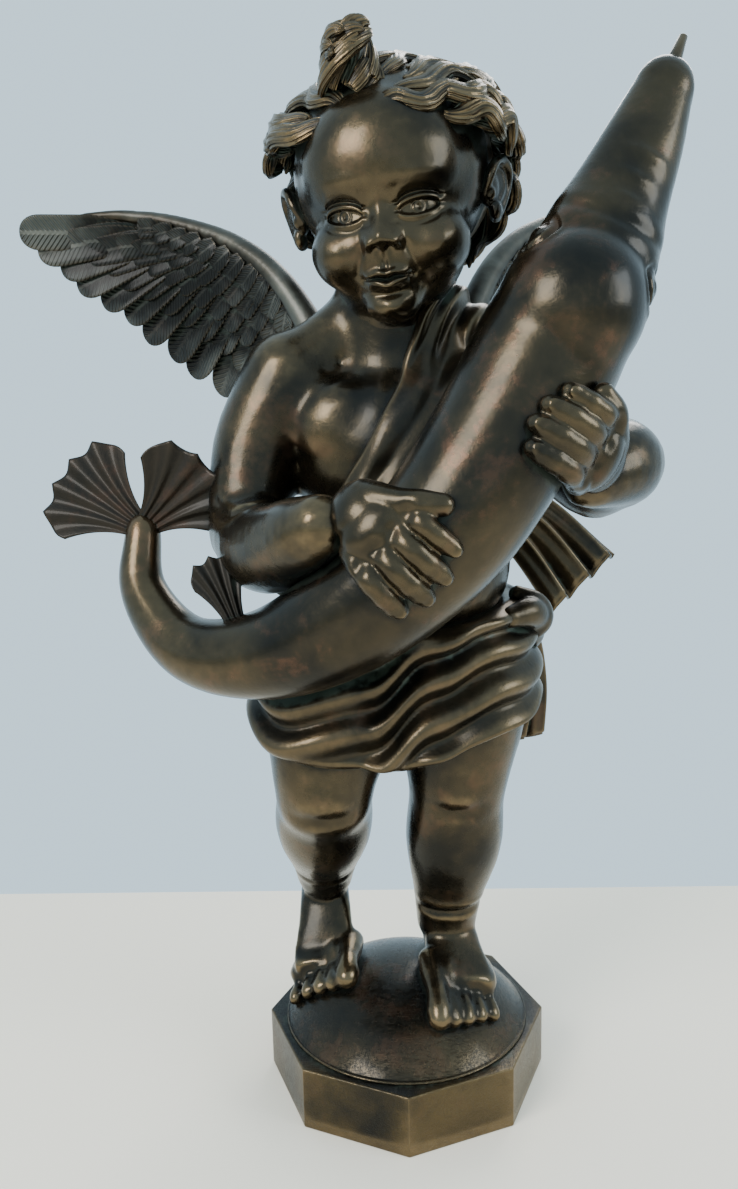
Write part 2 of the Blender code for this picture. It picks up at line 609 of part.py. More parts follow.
def hip_cloth(clay, skin):
    """A cloth wound round the hips and knotted at the left, hanging in a swag in front."""
    loops = []
    turns = 64
    for j in range(turns):
        a = 2 * pi * j / turns
        out = np.array((sin(a), -cos(a), 0))
        front = (0.5 + 0.5 * cos(a)) ** 1.6
        back = (0.5 - 0.5 * cos(a)) ** 1.6
        top = 25.9 + 0.8 * sin(a) - 1.2 * front
        low = 21.4 - 5.4 * front + 0.8 * sin(a) - 2.6 * back
        outer, inner = [], []
        for k in range(15):
            share = k / 14
            z = top + (low - top) * share
            middle = np.array((0.3, 0.3, z))
            egg = 1 / sqrt((out[0] / 7.4) ** 2 + (out[1] / (5.6 if out[1] < 0 else 6.2)) ** 2)
            hit, _, _, far = skin.ray_cast(Vector(middle + out * 14), Vector(-out), 14)
            reach = max(egg, 14 - far + 0.35) if hit else egg
            phase = share**0.85 * 3.4 + 0.18 * sin(3 * a + 1) + 0.3 * sin(2 * a)
            fold = (0.2 + 0.3 * front + 0.15 * back) * cos(2 * pi * phase)
            outer.append(middle + out * (reach + 0.45 + fold))
            inner.append(middle + out * (reach - 1.3))
        loops.append(outer + inner[::-1])
    clay.grid(loops, wrap=True)
    for knot in (
            [(7.0, -3.0, 25.2, 0.7), (8.3, -1.9, 25.3, 1.0), (8.8, -0.5, 24.8, 1.05), (8.2, 1.0, 24.3, 0.7)],
            [(7.7, -0.9, 26.3, 0.6), (8.9, -0.9, 25.6, 0.85), (9.2, -0.7, 24.5, 0.85), (8.2, -0.5, 23.3, 0.6)]):
        clay.tube(knot)


def cloth_tails(clay):
    """The cloth's free ends, flying out behind the left hip."""
    rows = [(2.2, 5.2, 35.6, 0.45), (6.2, 7.0, 32.6, 0.7), (10.2, 7.6, 29.6, 1.0), (13.6, 7.2, 25.6, 1.3)]
    clay.ribbon(rows, [(0.3, -1, 0.4)] * 4, 5.6, 0.8, waves=3, depth=0.6)
    rows = [(7.8, 0.6, 24.2, 0.5), (8.6, 3.2, 22.2, 0.8), (8.9, 5.6, 18.2, 1.1), (8.5, 6.4, 14.0, 1.25)]
    clay.ribbon(rows, [(0.8, -1, 0.2)] * 4, 4.6, 0.8, waves=3, depth=0.5)


# Pieces

def finish(obj, material, smooth=True):
    obj.data.materials.clear()
    obj.data.materials.append(material)
    if smooth:
        obj.data.shade_smooth()
    for collection in obj.users_collection:
        collection.objects.unlink(obj)
    statue.objects.link(obj)


def make_material(name, colour, roughness, metallic):
    material = bpy.data.materials.new(name)
    material.use_nodes = True
    shader = material.node_tree.nodes["Principled BSDF"]
    shader.inputs["Base Color"].default_value = (*colour, 1)
    shader.inputs["Roughness"].default_value = roughness
    shader.inputs["Metallic"].default_value = metallic
    return material


def turned(name, profile, steps):
    """A shape turned about Z from a closed profile of (radius, z), run from top to bottom outside."""
    mesh = bpy.data.meshes.new(name)
    count = len(profile)
    mesh.from_pydata([(r, 0, z) for r, z in profile], [(i, i + 1) for i in range(count - 1)], [])
    obj = bpy.data.objects.new(name, mesh)
    bpy.context.scene.collection.objects.link(obj)
    screw = obj.modifiers.new("Turn", "SCREW")
    screw.steps = steps
    screw.render_steps = steps
    screw.use_merge_vertices = True
    screw.merge_threshold = 0.00001
    return obj


def hide_form(obj):
    """Puts away an object that only a Boolean reads."""
    obj.hide_render = True
    obj.display_type = "WIRE"
    helpers.objects.link(obj)
    bpy.context.scene.collection.objects.unlink(obj)


def make_dome():
    """The domed ground, hidden: the figure takes it in with a Boolean."""
    ball = (dome_radius**2 + dome_height**2) / (2 * dome_height)
    low = plinth_height + seat_gap
    half_angle = np.arccos((ball - dome_height) / ball)
    top = low + dome_height
    profile = [(0, top)]
    profile += [(ball * sin(t), top - ball + ball * cos(t)) for t in np.linspace(0, half_angle, 8)[1:-1]]
    profile += [(dome_radius, low + dome_lip), (dome_radius, low), (0, low)]
    dome = turned("dome_form", profile, 44)
    hide_form(dome)
    return dome


def make_flesh():
    clay = Clay()
    torso(clay)
    legs(clay)
    arms(clay)
    head_masses(clay)
    obj = clay.fused("flesh_form", clay_voxel, flesh_smoothing)
    mesh = evaluated_mesh(obj)
    bpy.data.objects.remove(obj)
    brush(mesh, face_strokes())
    return mesh


def nozzle_place():
    """The nozzle's foot on the snout, with its length along Z of this frame."""
    tip, radius, along, _, _ = dolphin_frame(1.0)
    foot_of_nozzle = Vector(apex) + Vector(tip + along * radius * nozzle_seat) * unit
    return Matrix.Translation(foot_of_nozzle) @ Vector(along).to_track_quat("Z", "Y").to_matrix().to_4x4()


def make_socket():
    """The hole in the snout that takes the nozzle's spigot, hidden."""
    radius = nozzle_base_radius + seat_gap
    deep = nozzle_spigot + seat_gap
    above = 4 * nozzle_base_radius
    socket = turned("nozzle_socket", [(0, above), (radius, above), (radius, -deep), (0, -deep)], 20)
    socket.matrix_world = nozzle_place()
    hide_form(socket)
    return socket


def mark_fine_zones(figure):
    """A vertex group that is lighter on the face, hands and feet, where small forms matter."""
    zones = [(on_head((0, -5, -2)), 5.2)]
    zones += [(on_dolphin(share, (angles[0] + 2 * angles[1]) / 3, 1), 4.2) for share, angles, _, _ in hands]
    zones += [(np.array((ball[0], ball[1] - 0.8, 0)), 3.6) for _, ball, _, _ in feet]
    points = np.empty(len(figure.data.vertices) * 3)
    figure.data.vertices.foreach_get("co", points)
    points = (points.reshape(-1, 3) - np.array(apex)) / unit
    fine = np.zeros(len(points), bool)
    for centre, reach in zones:
        fine |= ((points - centre) ** 2).sum(1) < reach**2
    coarse = figure.vertex_groups.new(name="coarse")
    coarse.add(np.flatnonzero(~fine).tolist(), 1.0, "REPLACE")
    coarse.add(np.flatnonzero(fine).tolist(), 0.4, "REPLACE")


def make_figure(dome, socket, material):
    flesh = make_flesh()
    bm = bmesh.new()
    bm.from_mesh(flesh)
    skin = BVHTree.FromBMesh(bm)
    bm.free()
    clay = Clay()
    clay.add(flesh)
    face_features(clay)
    ears(clay)
    for lock in [*hair_locks(), *tuft_locks()]:
        clay.tube(lock, 3)
    dolphin(clay)
    for grip in hands:
        hand(clay, *grip)
    for stance in feet:
        foot(clay, *stance)
    for side in (-1, 1):
        wing(clay, side)
    sash(clay, skin)
    hip_cloth(clay, skin)
    cloth_tails(clay)
    cast = clay.fused("cast", clay_voxel * unit, finish_smoothing, unit, apex)
    mesh = evaluated_mesh(cast)
    bpy.data.objects.remove(cast)
    figure = bpy.data.objects.new("putto_with_dolphin", mesh)
    bpy.context.scene.collection.objects.link(figure)
    mark_fine_zones(figure)
    fewer = figure.modifiers.new("Fewer faces", "DECIMATE")
    fewer.ratio = figure_triangles / (2 * len(mesh.polygons))
    fewer.vertex_group = "coarse"
    fewer.vertex_group_factor = fine_zone_keep
    for helper, operation in ((dome, "UNION"), (socket, "DIFFERENCE")):
        join = figure.modifiers.new(helper.name, "BOOLEAN")
        join.operation = operation
        join.object = helper
    finish(figure, material)
    return figure


def make_plinth(material):
    bpy.ops.mesh.primitive_cylinder_add(
        vertices=8, radius=plinth_across_flats / 2 / cos(pi / 8), depth=plinth_height,
        location=(0, 0, plinth_height / 2), rotation=(0, 0, 0))
    plinth = bpy.context.object
    plinth.name = "octagonal_plinth"
    edges = plinth.modifiers.new("Worn edges", "BEVEL")
    edges.width = plinth_edge_radius
    finish(plinth, material, smooth=False)
    return plinth


def make_nozzle(material):
    """The spout in the dolphin's snout, with a blind bore open at its tip."""
    profile = [
        (nozzle_tip_radius, nozzle_length), (nozzle_base_radius, 0),
        (nozzle_base_radius, -nozzle_spigot), (0, -nozzle_spigot)]
    bore = [(0, 0), (nozzle_bore_radius, 0), (nozzle_bore_radius, nozzle_length)]
    nozzle = turned("fountain_nozzle", bore + profile, 18)
    nozzle.matrix_world = nozzle_place()
    finish(nozzle, material)
    return nozzle


for leftover in list(bpy.data.objects):
    bpy.data.objects.remove(leftover)
statue = bpy.data.collections.new("putto_with_dolphin_statue")
helpers = bpy.data.collections.new("helpers")
bpy.context.scene.collection.children.link(statue)
bpy.context.scene.collection.children.link(helpers)

bronze = make_material("dark bronze", (0.045, 0.035, 0.028), 0.35, 0.9)
base_bronze = make_material("plinth bronze", (0.05, 0.042, 0.032), 0.45, 0.85)

make_figure(make_dome(), make_socket(), bronze)
make_plinth(base_bronze)
make_nozzle(bronze)
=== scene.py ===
# The looks of a bronze putto with a dolphin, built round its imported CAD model.
# The figure is shaped in centimetres from the top of the dome: +x towards the child's
# left hand, -y in front of it. Each piece ends in metres in the model's own frame.
from math import acos, cos, pi, radians, sin, sqrt, tan

import bmesh
import bpy
import numpy as np
from mathutils import Matrix, Vector
from mathutils.bvhtree import BVHTree


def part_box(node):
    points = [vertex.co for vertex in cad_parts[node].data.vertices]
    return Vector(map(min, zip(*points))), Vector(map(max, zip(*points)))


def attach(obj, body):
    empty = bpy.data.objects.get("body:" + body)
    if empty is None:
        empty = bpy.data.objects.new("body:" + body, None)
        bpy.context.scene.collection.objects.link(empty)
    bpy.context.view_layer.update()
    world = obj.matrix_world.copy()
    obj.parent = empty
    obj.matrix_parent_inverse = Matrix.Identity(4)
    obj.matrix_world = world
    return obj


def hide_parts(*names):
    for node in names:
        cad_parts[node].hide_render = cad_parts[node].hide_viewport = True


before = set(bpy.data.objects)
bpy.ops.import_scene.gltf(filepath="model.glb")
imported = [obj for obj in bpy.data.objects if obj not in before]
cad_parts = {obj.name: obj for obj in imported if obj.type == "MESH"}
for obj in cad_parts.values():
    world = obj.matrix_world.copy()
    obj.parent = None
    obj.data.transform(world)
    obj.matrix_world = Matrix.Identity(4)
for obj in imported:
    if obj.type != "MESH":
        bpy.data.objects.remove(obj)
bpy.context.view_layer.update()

cm = 0.01
level = Matrix.Identity(4)
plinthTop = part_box("octagonal_plinth")[1][2]
dome = {"radius": 0.085, "height": 0.038, "seat": 0.0003, "steps": 120, "rings": 60, "arc": 0.985,
        "rim": ((0.0014, 0.0016), (0.0009, 0.0015), (0.0004, 0.0013), (0, 0.0008), (0, 0.0003),
                (0.0004, 0))}  # rim: how far in from the radius, and up from the seat
domeLow = plinthTop + dome["seat"]
domeBall = (dome["radius"] ** 2 + dome["height"] ** 2) / (2 * dome["height"])
apex = np.array((0, 0, domeLow + dome["height"]))


# Paths, turns and small sums

def smoothPath(rows, count):  # Catmull-Rom curve through rows of numbers
    rows = np.array(rows, float)
    ends = np.vstack([2 * rows[0] - rows[1], rows, 2 * rows[-1] - rows[-2]])
    t = np.linspace(0, len(rows) - 1, count)
    i = np.minimum(t.astype(int), len(rows) - 2)
    f = (t - i)[:, None]
    a, b, c, d = ends[i], ends[i + 1], ends[i + 2], ends[i + 3]
    square = 2 * a - 5 * b + 4 * c - d
    cube = 3 * b - a - 3 * c + d
    return 0.5 * (2 * b + (c - a) * f + square * f**2 + cube * f**3)


def unitVector(v):
    v = np.array(v, float)
    return v / np.linalg.norm(v)


def smoothStep(low, high, value):
    t = np.clip((value - low) / (high - low), 0, 1)
    return t * t * (3 - 2 * t)


def bell(away, width=1.0):  # 1 in the middle, fading out on both sides
    return np.exp(-((away / width) ** 2))


def ellipse(count, across, up):  # a ring of points from its two half axes
    angles = np.linspace(0, 2 * pi, count, endpoint=False)
    return np.cos(angles)[:, None] * across + np.sin(angles)[:, None] * up


def turnBy(degrees, axis):
    return Matrix.Rotation(radians(degrees), 4, axis)


def turnTo(x, y, z):  # a turn that lays the axes along these directions
    return Matrix((x, y, z)).transposed().to_4x4()


def moved(points, matrix):
    m = np.array(matrix)
    return points @ m[:3, :3].T + m[:3, 3]


# Meshes

def meshPoints(mesh):
    points = np.empty(len(mesh.vertices) * 3)
    mesh.vertices.foreach_get("co", points)
    return points.reshape(-1, 3)


def meshNormals(mesh):
    normals = np.empty(len(mesh.vertices) * 3, np.float32)
    mesh.vertex_normals.foreach_get("vector", normals)
    return normals.reshape(-1, 3).astype(float)


def setPoints(mesh, points):
    mesh.vertices.foreach_set("co", np.ascontiguousarray(points, np.float32).reshape(-1))
    mesh.update()


def newMesh(name, points, edges=(), faces=()):
    mesh = bpy.data.meshes.new(name)
    mesh.from_pydata(points, edges, faces)
    return mesh


def setAttribute(mesh, name, values):  # a number or a vector for each point
    values = np.array(values, float)
    kind, key = ("FLOAT_VECTOR", "vector") if values.ndim == 2 else ("FLOAT", "value")
    mesh.attributes.new(name, kind, "POINT").data.foreach_set(key, values.reshape(-1))


def linked(name, data):
    obj = bpy.data.objects.new(name, data)
    bpy.context.scene.collection.objects.link(obj)
    return obj


def modify(obj, kind, **settings):
    modifier = obj.modifiers.new(kind.title(), kind)
    for key, value in settings.items():
        setattr(modifier, key, value)
    return modifier


def applied(obj):  # the object's evaluated mesh, without the object
    evaluated = obj.evaluated_get(bpy.context.evaluated_depsgraph_get())
    mesh = bpy.data.meshes.new_from_object(evaluated)
    bpy.data.objects.remove(obj)
    return mesh


def joined(name, *meshes):
    objects = [linked(name, mesh) for mesh in meshes]
    with bpy.context.temp_override(active_object=objects[0], selected_editable_objects=objects):
        bpy.ops.object.join()
    mesh = objects[0].data
    bpy.data.objects.remove(objects[0])
    return mesh


def surfaceOf(*meshes):  # a tree for nearest points and rays
    bm = bmesh.new()
    for mesh in meshes:
        bm.from_mesh(mesh)
    tree = BVHTree.FromBMesh(bm)
    bm.free()
    return tree


def nearest(tree, point):  # the surface's nearest point, and the way out there
    place, out = tree.find_nearest(Vector(point))[:2]
    return np.array(place), np.array(out)


# Clay: closed shapes that overlap, gathered to be fused into one skin

def ballGrid(across, up):
    bm = bmesh.new()
    bmesh.ops.create_uvsphere(bm, u_segments=across, v_segments=up, radius=1)
    points = np.array([v.co for v in bm.verts])
    faces = [[v.index for v in face.verts] for face in bm.faces]
    bm.free()
    return points, faces


ballPoints, ballFaces = ballGrid(28, 18)
thinnest = 0.02  # the least radius of a tube, so that its rings stay open


class Clay:
    def __init__(self):
        self.points = []
        self.faces = []
        self.count = 0

    def shape(self, points, faces):
        self.faces += [[i + self.count for i in face] for face in faces]
        self.points.append(np.array(points, float))
        self.count += len(points)

    def egg(self, centre, radii, turn=level, within=level):  # within: the frame of the centre
        sizes = Matrix.Diagonal((*np.broadcast_to(radii, 3), 1))
        matrix = within @ Matrix.Translation(centre) @ turn @ sizes
        self.shape(moved(ballPoints, matrix), ballFaces)

    def tube(self, rows, steps=8, sides=20):  # a round limb through rows of x, y, z, radius
        path = smoothPath(rows, steps * (len(rows) - 1) + 1)
        along = np.gradient(path[:, :3], axis=0)
        along /= np.linalg.norm(along, axis=1)[:, None]
        side = unitVector(np.cross(along[0], (0.31, 0.17, 0.93)))  # no tube starts that way
        loops = []
        for centre, ahead in zip(path, along):
            side = unitVector(side - ahead * np.dot(side, ahead))
            ring = ellipse(sides, side, np.cross(ahead, side))
            loops.append(centre[:3] + max(centre[3], thinnest) * ring)
        self.grid(loops)
        for x, y, z, radius in (path[0], path[-1]):
            self.egg((x, y, z), radius)

    def grid(self, loops, wrap=False):  # a skin over closed loops, capped unless it wraps round
        loops = np.array(loops)
        rows, count = loops.shape[:2]
        faces = []
        for row in range(rows if wrap else rows - 1):
            here, there = row * count, (row + 1) % rows * count
            for i in range(count):
                j = (i + 1) % count
                faces.append([here + i, here + j, there + j, there + i])
        if not wrap:
            strips = [[i, i + 1, count - 2 - i, count - 1 - i] for i in range(count // 2 - 1)]
            faces += [strip[::-1] for strip in strips]
            faces += [[(rows - 1) * count + i for i in strip] for strip in strips]
        self.shape(loops.reshape(-1, 3), faces)

    def sheet(self, outer, inner, wrap=False):  # a skin round two layers of rows
        self.grid([np.vstack([a, b[::-1]]) for a, b in zip(outer, inner)], wrap)

    def add(self, mesh):
        self.shape(meshPoints(mesh), [list(face.vertices) for face in mesh.polygons])

    def raw(self, name):
        return newMesh(name, np.vstack(self.points), [], self.faces)

    def fused(self, name, voxel, smoothing, levels=0):
        obj = linked(name, self.raw(name))
        modify(obj, "REMESH", mode="VOXEL", voxel_size=voxel, use_smooth_shade=True)
        modify(obj, "SMOOTH", factor=0.5, iterations=smoothing)
        if levels:
            modify(obj, "SUBSURF", levels=levels, render_levels=levels)
        return applied(obj)


# Tooling on a skin

def groove(mesh, path, width, depth, lip=0.3):  # a fold of flesh along a path laid on the skin
    points, normals = meshPoints(mesh), meshNormals(mesh)
    tree = surfaceOf(mesh)
    length = np.linalg.norm(np.diff(path, axis=0), axis=1).sum()
    line = smoothPath(path, max(12, int(length / (0.3 * width))))
    line = np.array([nearest(tree, p)[0] for p in line])
    margin = 4 * width
    inside = (points > line.min(0) - margin) & (points < line.max(0) + margin)
    near = np.flatnonzero(inside.all(1))
    far = np.linalg.norm(points[near, None, :] - line[None, :, :], axis=2)
    closest = far.argmin(1)
    reach = far[np.arange(len(near)), closest] / width
    fade = np.sin(pi * np.clip((closest + 0.5) / len(line), 0, 1)) ** 0.6
    push = fade * (-depth * bell(reach) + lip * depth * bell(reach - 2))
    points[near] += normals[near] * push[:, None]
    setPoints(mesh, points)


def folded(mesh, folds):
    for path, width, depth in folds:
        groove(mesh, path, width, depth)
    return mesh


def press(mesh, centre, radii, push):  # moves the skin near a point, along push
    points = meshPoints(mesh)
    reach = (((points - centre) / np.array(radii)) ** 2).sum(1)
    points += np.exp(-reach)[:, None] * np.array(push, float)
    setPoints(mesh, points)


def finer(mesh, chosen):  # splits the faces between the chosen vertices and eases them
    bm = bmesh.new()
    bm.from_mesh(mesh)
    keep = chosen(np.array([v.co for v in bm.verts]))
    edges = [e for e in bm.edges if keep[e.verts[0].index] and keep[e.verts[1].index]]
    bmesh.ops.subdivide_edges(bm, edges=edges, cuts=1, use_grid_fill=True)
    keep = chosen(np.array([v.co for v in bm.verts]))
    soft = [v for v, inside in zip(bm.verts, keep) if inside]
    everyWay = {"use_axis_x": True, "use_axis_y": True, "use_axis_z": True}
    for _ in range(2):
        bmesh.ops.smooth_vert(bm, verts=soft, factor=0.5, **everyWay)
    bm.to_mesh(mesh)
    bm.free()
    mesh.update()


def onDome(spot, lift):  # a point this far over the dome's skin, in cm from its top
    reach = min((spot[0] ** 2 + spot[1] ** 2) * cm**2, dome["radius"] ** 2)
    return (*spot[:2], lift - (domeBall - sqrt(domeBall**2 - reach)) / cm)


# The dolphin's path, which the hands lie on

dolphinRows = [  # x, y, z, radius from the tail to the snout
    (-16.6, -0.6, 31.0, 1.2), (-16.4, -2.2, 27.2, 1.55), (-13.0, -5.0, 24.0, 2.1),
    (-7.8, -7.4, 24.2, 2.8), (-2.6, -9.2, 27.0, 3.5), (2.3, -9.6, 31.5, 4.0),
    (6.0, -8.8, 36.8, 4.15), (8.6, -8.0, 41.6, 4.2), (10.6, -7.2, 45.6, 3.5),
    (12.2, -6.4, 49.0, 2.6), (13.8, -5.6, 52.4, 2.05), (15.0, -5.0, 55.2, 1.55)]
dolphinPath = smoothPath(dolphinRows, 12 * (len(dolphinRows) - 1) + 1)


def dolphinFrame(share):  # centre, radius, and the along, front and side directions
    last = len(dolphinPath) - 1
    at = share * last
    i = min(int(at), last - 1)
    row = dolphinPath[i] + (dolphinPath[i + 1] - dolphinPath[i]) * (at - i)
    along = unitVector(dolphinPath[min(i + 2, last), :3] - dolphinPath[max(i - 1, 0), :3])
    front = unitVector(np.array((0, -1, 0)) + along[1] * along)
    return row[:3], row[3], along, front, np.cross(along, front)


def wayOut(share, angle):  # angles go round the dolphin from its front towards its lower side
    front, side = dolphinFrame(share)[3:]
    return front * cos(radians(angle)) + side * sin(radians(angle))


def onDolphin(share, angle, lift):
    centre, radius = dolphinFrame(share)[:2]
    return centre + (radius + lift) * wayOut(share, angle)


# Body

body = {"voxel": 0.49, "smoothing": 5, "levels": 1}
arms = (  # upper arm, start of the forearm, wrist on the dolphin, bend and its pull, last radii
    (((-6.8, 0.7, 40.4, 3.1), (-8.8, 0.3, 36.4, 3.05), (-9.6, -0.9, 32.6, 2.65),
      (-9.6, -1.8, 30.8, 2.55)), ((-9.6, -1.8, 31.0, 2.55), (-7.9, -5.4, 30.2, 2.8)),
     (0.395, -72, 1.7), (-6.8, -7.6, 30.6), 0.4, (2.3, 1.85)),
    (((6.9, 0.7, 40.2, 3.1), (9.6, 0.4, 36.8, 3.0), (11.9, -1.2, 34.2, 2.65),
      (12.4, -2.2, 33.8, 2.55)), ((12.4, -2.2, 33.9, 2.55), (13.2, -5.0, 34.9, 2.7)),
     (0.552, 98, 1.5), (13.6, -5.4, 35.2), 0.25, (2.15, 1.8)))
bodyFolds = (  # path, width and depth: under the chest, its middle, the back and two elbows
    ([(-4.6, -4.6, 35.6), (-2.6, -5.4, 34.8), (-0.9, -5.4, 35.0)], 0.7, 0.1),
    ([(0.1, -4.2, 41.4), (0.1, -4.9, 39.5), (0.1, -5.4, 36.5)], 0.6, 0.12),
    ([(0.1, 4.6, 42.0), (0.2, 5.4, 37.0), (0.3, 5.4, 32.0), (0.4, 5.2, 27.0)], 0.7, 0.2),
    ([(-12.6, -3.2, 33.2), (-11.0, -5.2, 33.0), (-8.6, -5.4, 33.2), (-6.8, -3.8, 33.8)], 0.35, 0.3),
    ([(9.6, -4.0, 36.8), (11.4, -4.6, 36.8), (13.6, -4.2, 36.2), (15.0, -2.6, 35.4)], 0.35, 0.3))


def torsoClay(clay):
    clay.egg((0.1, 0.7, 35.6), (6.9, 5.2, 6.4))
    clay.egg((0.4, -0.8, 28.6), (6.9, 6.0, 5.9))
    clay.egg((0.4, 0.6, 23.6), (7.0, 5.3, 4.7))
    for side in (-1, 1):
        clay.egg((0.4 + side * 3.2, 3.4, 22.0), (3.7, 3.5, 3.8))
        clay.egg((0.1 + side * 2.9, -1.8, 37.2), (3.5, 2.0, 3.2))
        clay.egg((0.1 + side * 3.9, 4.2, 38.4), (2.8, 1.6, 3.4))
        clay.tube([(side * 1.4, 1.6, 44.6, 2.4), (side * 3.8, 1.1, 42.8, 2.2),
                   (side * 6.4, 0.6, 40.6, 2.7)])
    clay.tube([(0.1, 1.6, 41.0, 4.0), (0.1, 1.2, 44.0, 3.7), (0.0, 0.9, 48.0, 3.8)])


def armsClay(clay):
    for upper, lower, wristSpot, bend, pull, radii in arms:
        wrist = onDolphin(*wristSpot)
        middle = wrist * (1 - pull) + np.array(bend) * pull
        clay.tube(upper)
        clay.tube([*lower, (*middle, radii[0]), (*wrist, radii[1])])


def makeBody():
    clay = Clay()
    torsoClay(clay)
    armsClay(clay)
    mesh = clay.fused("body", body["voxel"], body["smoothing"], body["levels"])
    for side in (-1, 1):
        press(mesh, (0.1 + side * 3.3, -5.0, 37.0), (0.4, 0.8, 0.4), (0, -0.16, 0))
    return folded(mesh, bodyFolds)


# Head

headTurn = turnBy(-9, "Z") @ turnBy(10, "X") @ turnBy(-5, "Y")
headFrame = Matrix.Translation((0.0, -0.8, 51.0)) @ headTurn @ Matrix.Scale(1.06, 4)
head = {"voxel": 0.4, "smoothing": 4, "levels": 1, "eyeX": 2.05, "eyeZ": -0.74, "mouthZ": -4.12}
faceZone = (-2.2, 4.4, -6.8, 3.2)  # depth, half width, lowest and highest point
featureZone = (-3.0, 3.5, -5.3, 0.9)


def onHead(point):
    return np.array(headFrame @ Vector(point))


def headClay(clay):
    def lump(centre, radii):
        clay.egg(centre, radii, within=headFrame)

    lump((0, 1.0, 1.3), (5.7, 6.3, 5.8))
    lump((0, -1.8, 1.6), (4.7, 4.0, 4.3))
    lump((0, -1.2, -2.3), (4.3, 4.4, 4.2))
    for side in (-1, 1):
        lump((side * 2.25, -2.7, -2.6), (2.3, 2.5, 2.2))
    lump((0, -4.15, -5.45), (1.65, 1.5, 1.3))
    lump((0, -4.3, -3.6), (1.9, 1.4, 1.6))
    lump((0, -5.1, -2.1), (0.85, 0.85, 0.7))
    clay.tube([(0.1, 1.6, 41.0, 3.7), (0.1, 1.1, 44.2, 3.6), (0.0, 0.9, 48.0, 3.8)])


def faceRelief(x, z):  # how far the face stands proud, in the head's own units
    side = abs(x)

    def bump(cx, cz, rx, rz):
        return np.exp(-(((side - cx) / rx) ** 2) - ((z - cz) / rz) ** 2)

    eyeX, eyeZ, mouthZ = head["eyeX"], head["eyeZ"], head["mouthZ"]
    # brows and eyes
    rise = -0.6 * bump(eyeX, -0.5, 1.45, 0.95) - 0.12 * bump(0, 0.1, 0.8, 0.9)
    rise += 0.14 * bump(2.2, 0.85, 1.7, 0.5) + 0.42 * bump(eyeX, eyeZ, 0.95, 0.66)
    u = (side - eyeX) / 1.06
    arch = np.clip(1 - u * u, 0, 1)
    above = z - (eyeZ + 0.06 * u + 0.36 * arch**0.6)
    below = eyeZ + 0.06 * u - 0.08 - 0.3 * arch**0.7 - z
    corner = smoothStep(1.5, 0.85, abs(u))
    opening = smoothStep(0.03, -0.06, above) * smoothStep(0.03, -0.06, below)
    opening *= smoothStep(1.05, 0.9, abs(u))
    lid = 0.15 * bell(above - 0.12, 0.15) - 0.16 * bell(above - 0.4, 0.1)
    rise += corner * (lid + 0.1 * bell(above - 0.72, 0.3))
    rise += corner * (0.11 * bell(below - 0.1, 0.13) - 0.07 * bell(below - 0.45, 0.16))
    rise -= 0.2 * opening
    iris = np.hypot(side - eyeX + 0.02, z - eyeZ + 0.02)
    pupil = 0.06 * bell(iris - 0.36, 0.06) + 0.12 * bell(iris, 0.15)
    rise += opening * (0.08 * bell(iris, 0.8) - pupil)
    rise -= 0.12 * bump(eyeX - 1.12, eyeZ - 0.04, 0.16, 0.14)
    # nose
    rise += 0.26 * bump(0, -1.0, 0.5, 1.0) + 0.2 * bump(0, -1.9, 1.05, 1.0)
    rise += 0.3 * bump(0, -2.1, 0.85, np.where(z < -2.1, 0.45, 0.75))
    rise += 0.34 * bump(0.78, -2.32, 0.36, np.where(z < -2.32, 0.28, 0.42))
    rise -= 0.12 * bump(1.2, -2.35, 0.16, 0.5)
    # lips
    m = x / 1.3
    taper = np.clip(1 - m * m, 0, 1)
    meeting = mouthZ + 0.05 * m * m - 0.07 * bell(x, 0.35) + 0.04 * bell(side - 0.5, 0.3)
    upper = z - meeting - (0.14 + 0.16 * taper)
    lower = meeting - z - (0.12 + 0.22 * taper)
    rise += 0.24 * taper**0.5 * bell(upper, 0.22) * (1 + 0.25 * bell(side - 0.35, 0.3))
    rise += 0.34 * np.clip(1 - (x / 1.15) ** 2, 0, 1) ** 0.7 * bell(lower, 0.26)
    rise -= 0.3 * taper**0.35 * bell(z - meeting, 0.08)
    rise -= 0.16 * bump(1.36, mouthZ + 0.04, 0.2, 0.22)
    rise -= 0.1 * bell(x, 0.15) * bell(z + 3.3, 0.36)
    rise += 0.05 * bell(side - 0.26, 0.12) * bell(z + 3.35, 0.36)
    # chin, cheeks and the folds beside nose and mouth
    rise -= 0.22 * bell(z + 4.98 - 0.06 * x * x, 0.24) * bell(x, 1.1)
    rise += 0.22 * bump(0, -5.75, 0.95, 0.6) + 0.3 * bump(2.9, -2.6, 1.5, 1.2)
    fold = side - (1.25 + 0.4 * smoothStep(-2.4, -4.0, z))
    rise -= 0.1 * bell(fold, 0.22) * smoothStep(-2.1, -2.6, z) * smoothStep(-4.3, -3.7, z)
    return rise


def makeHead():
    clay = Clay()
    headClay(clay)
    mesh = clay.fused("head", head["voxel"], head["smoothing"], head["levels"])
    inward = headFrame.inverted()
    for depth, wide, low, high in (faceZone, featureZone):
        def inZone(points):
            x, y, z = moved(points, inward).T
            return (y < depth) & (abs(x) < wide) & (z > low) & (z < high)

        finer(mesh, inZone)
    points = moved(meshPoints(mesh), inward)
    front = smoothStep(-1.0, -2.8, points[:, 1])
    points[:, 1] -= faceRelief(points[:, 0], points[:, 2]) * front
    setPoints(mesh, moved(points, headFrame))
    forward = np.array(headFrame.to_3x3() @ Vector((0, -1, 0)))
    nostrilPush = np.array((0, 0, 0.26)) - forward * 0.1
    for side in (-1, 1):
        press(mesh, onHead((side * 0.4, -5.95, -2.72)), (0.24, 0.3, 0.22), nostrilPush)
    return mesh


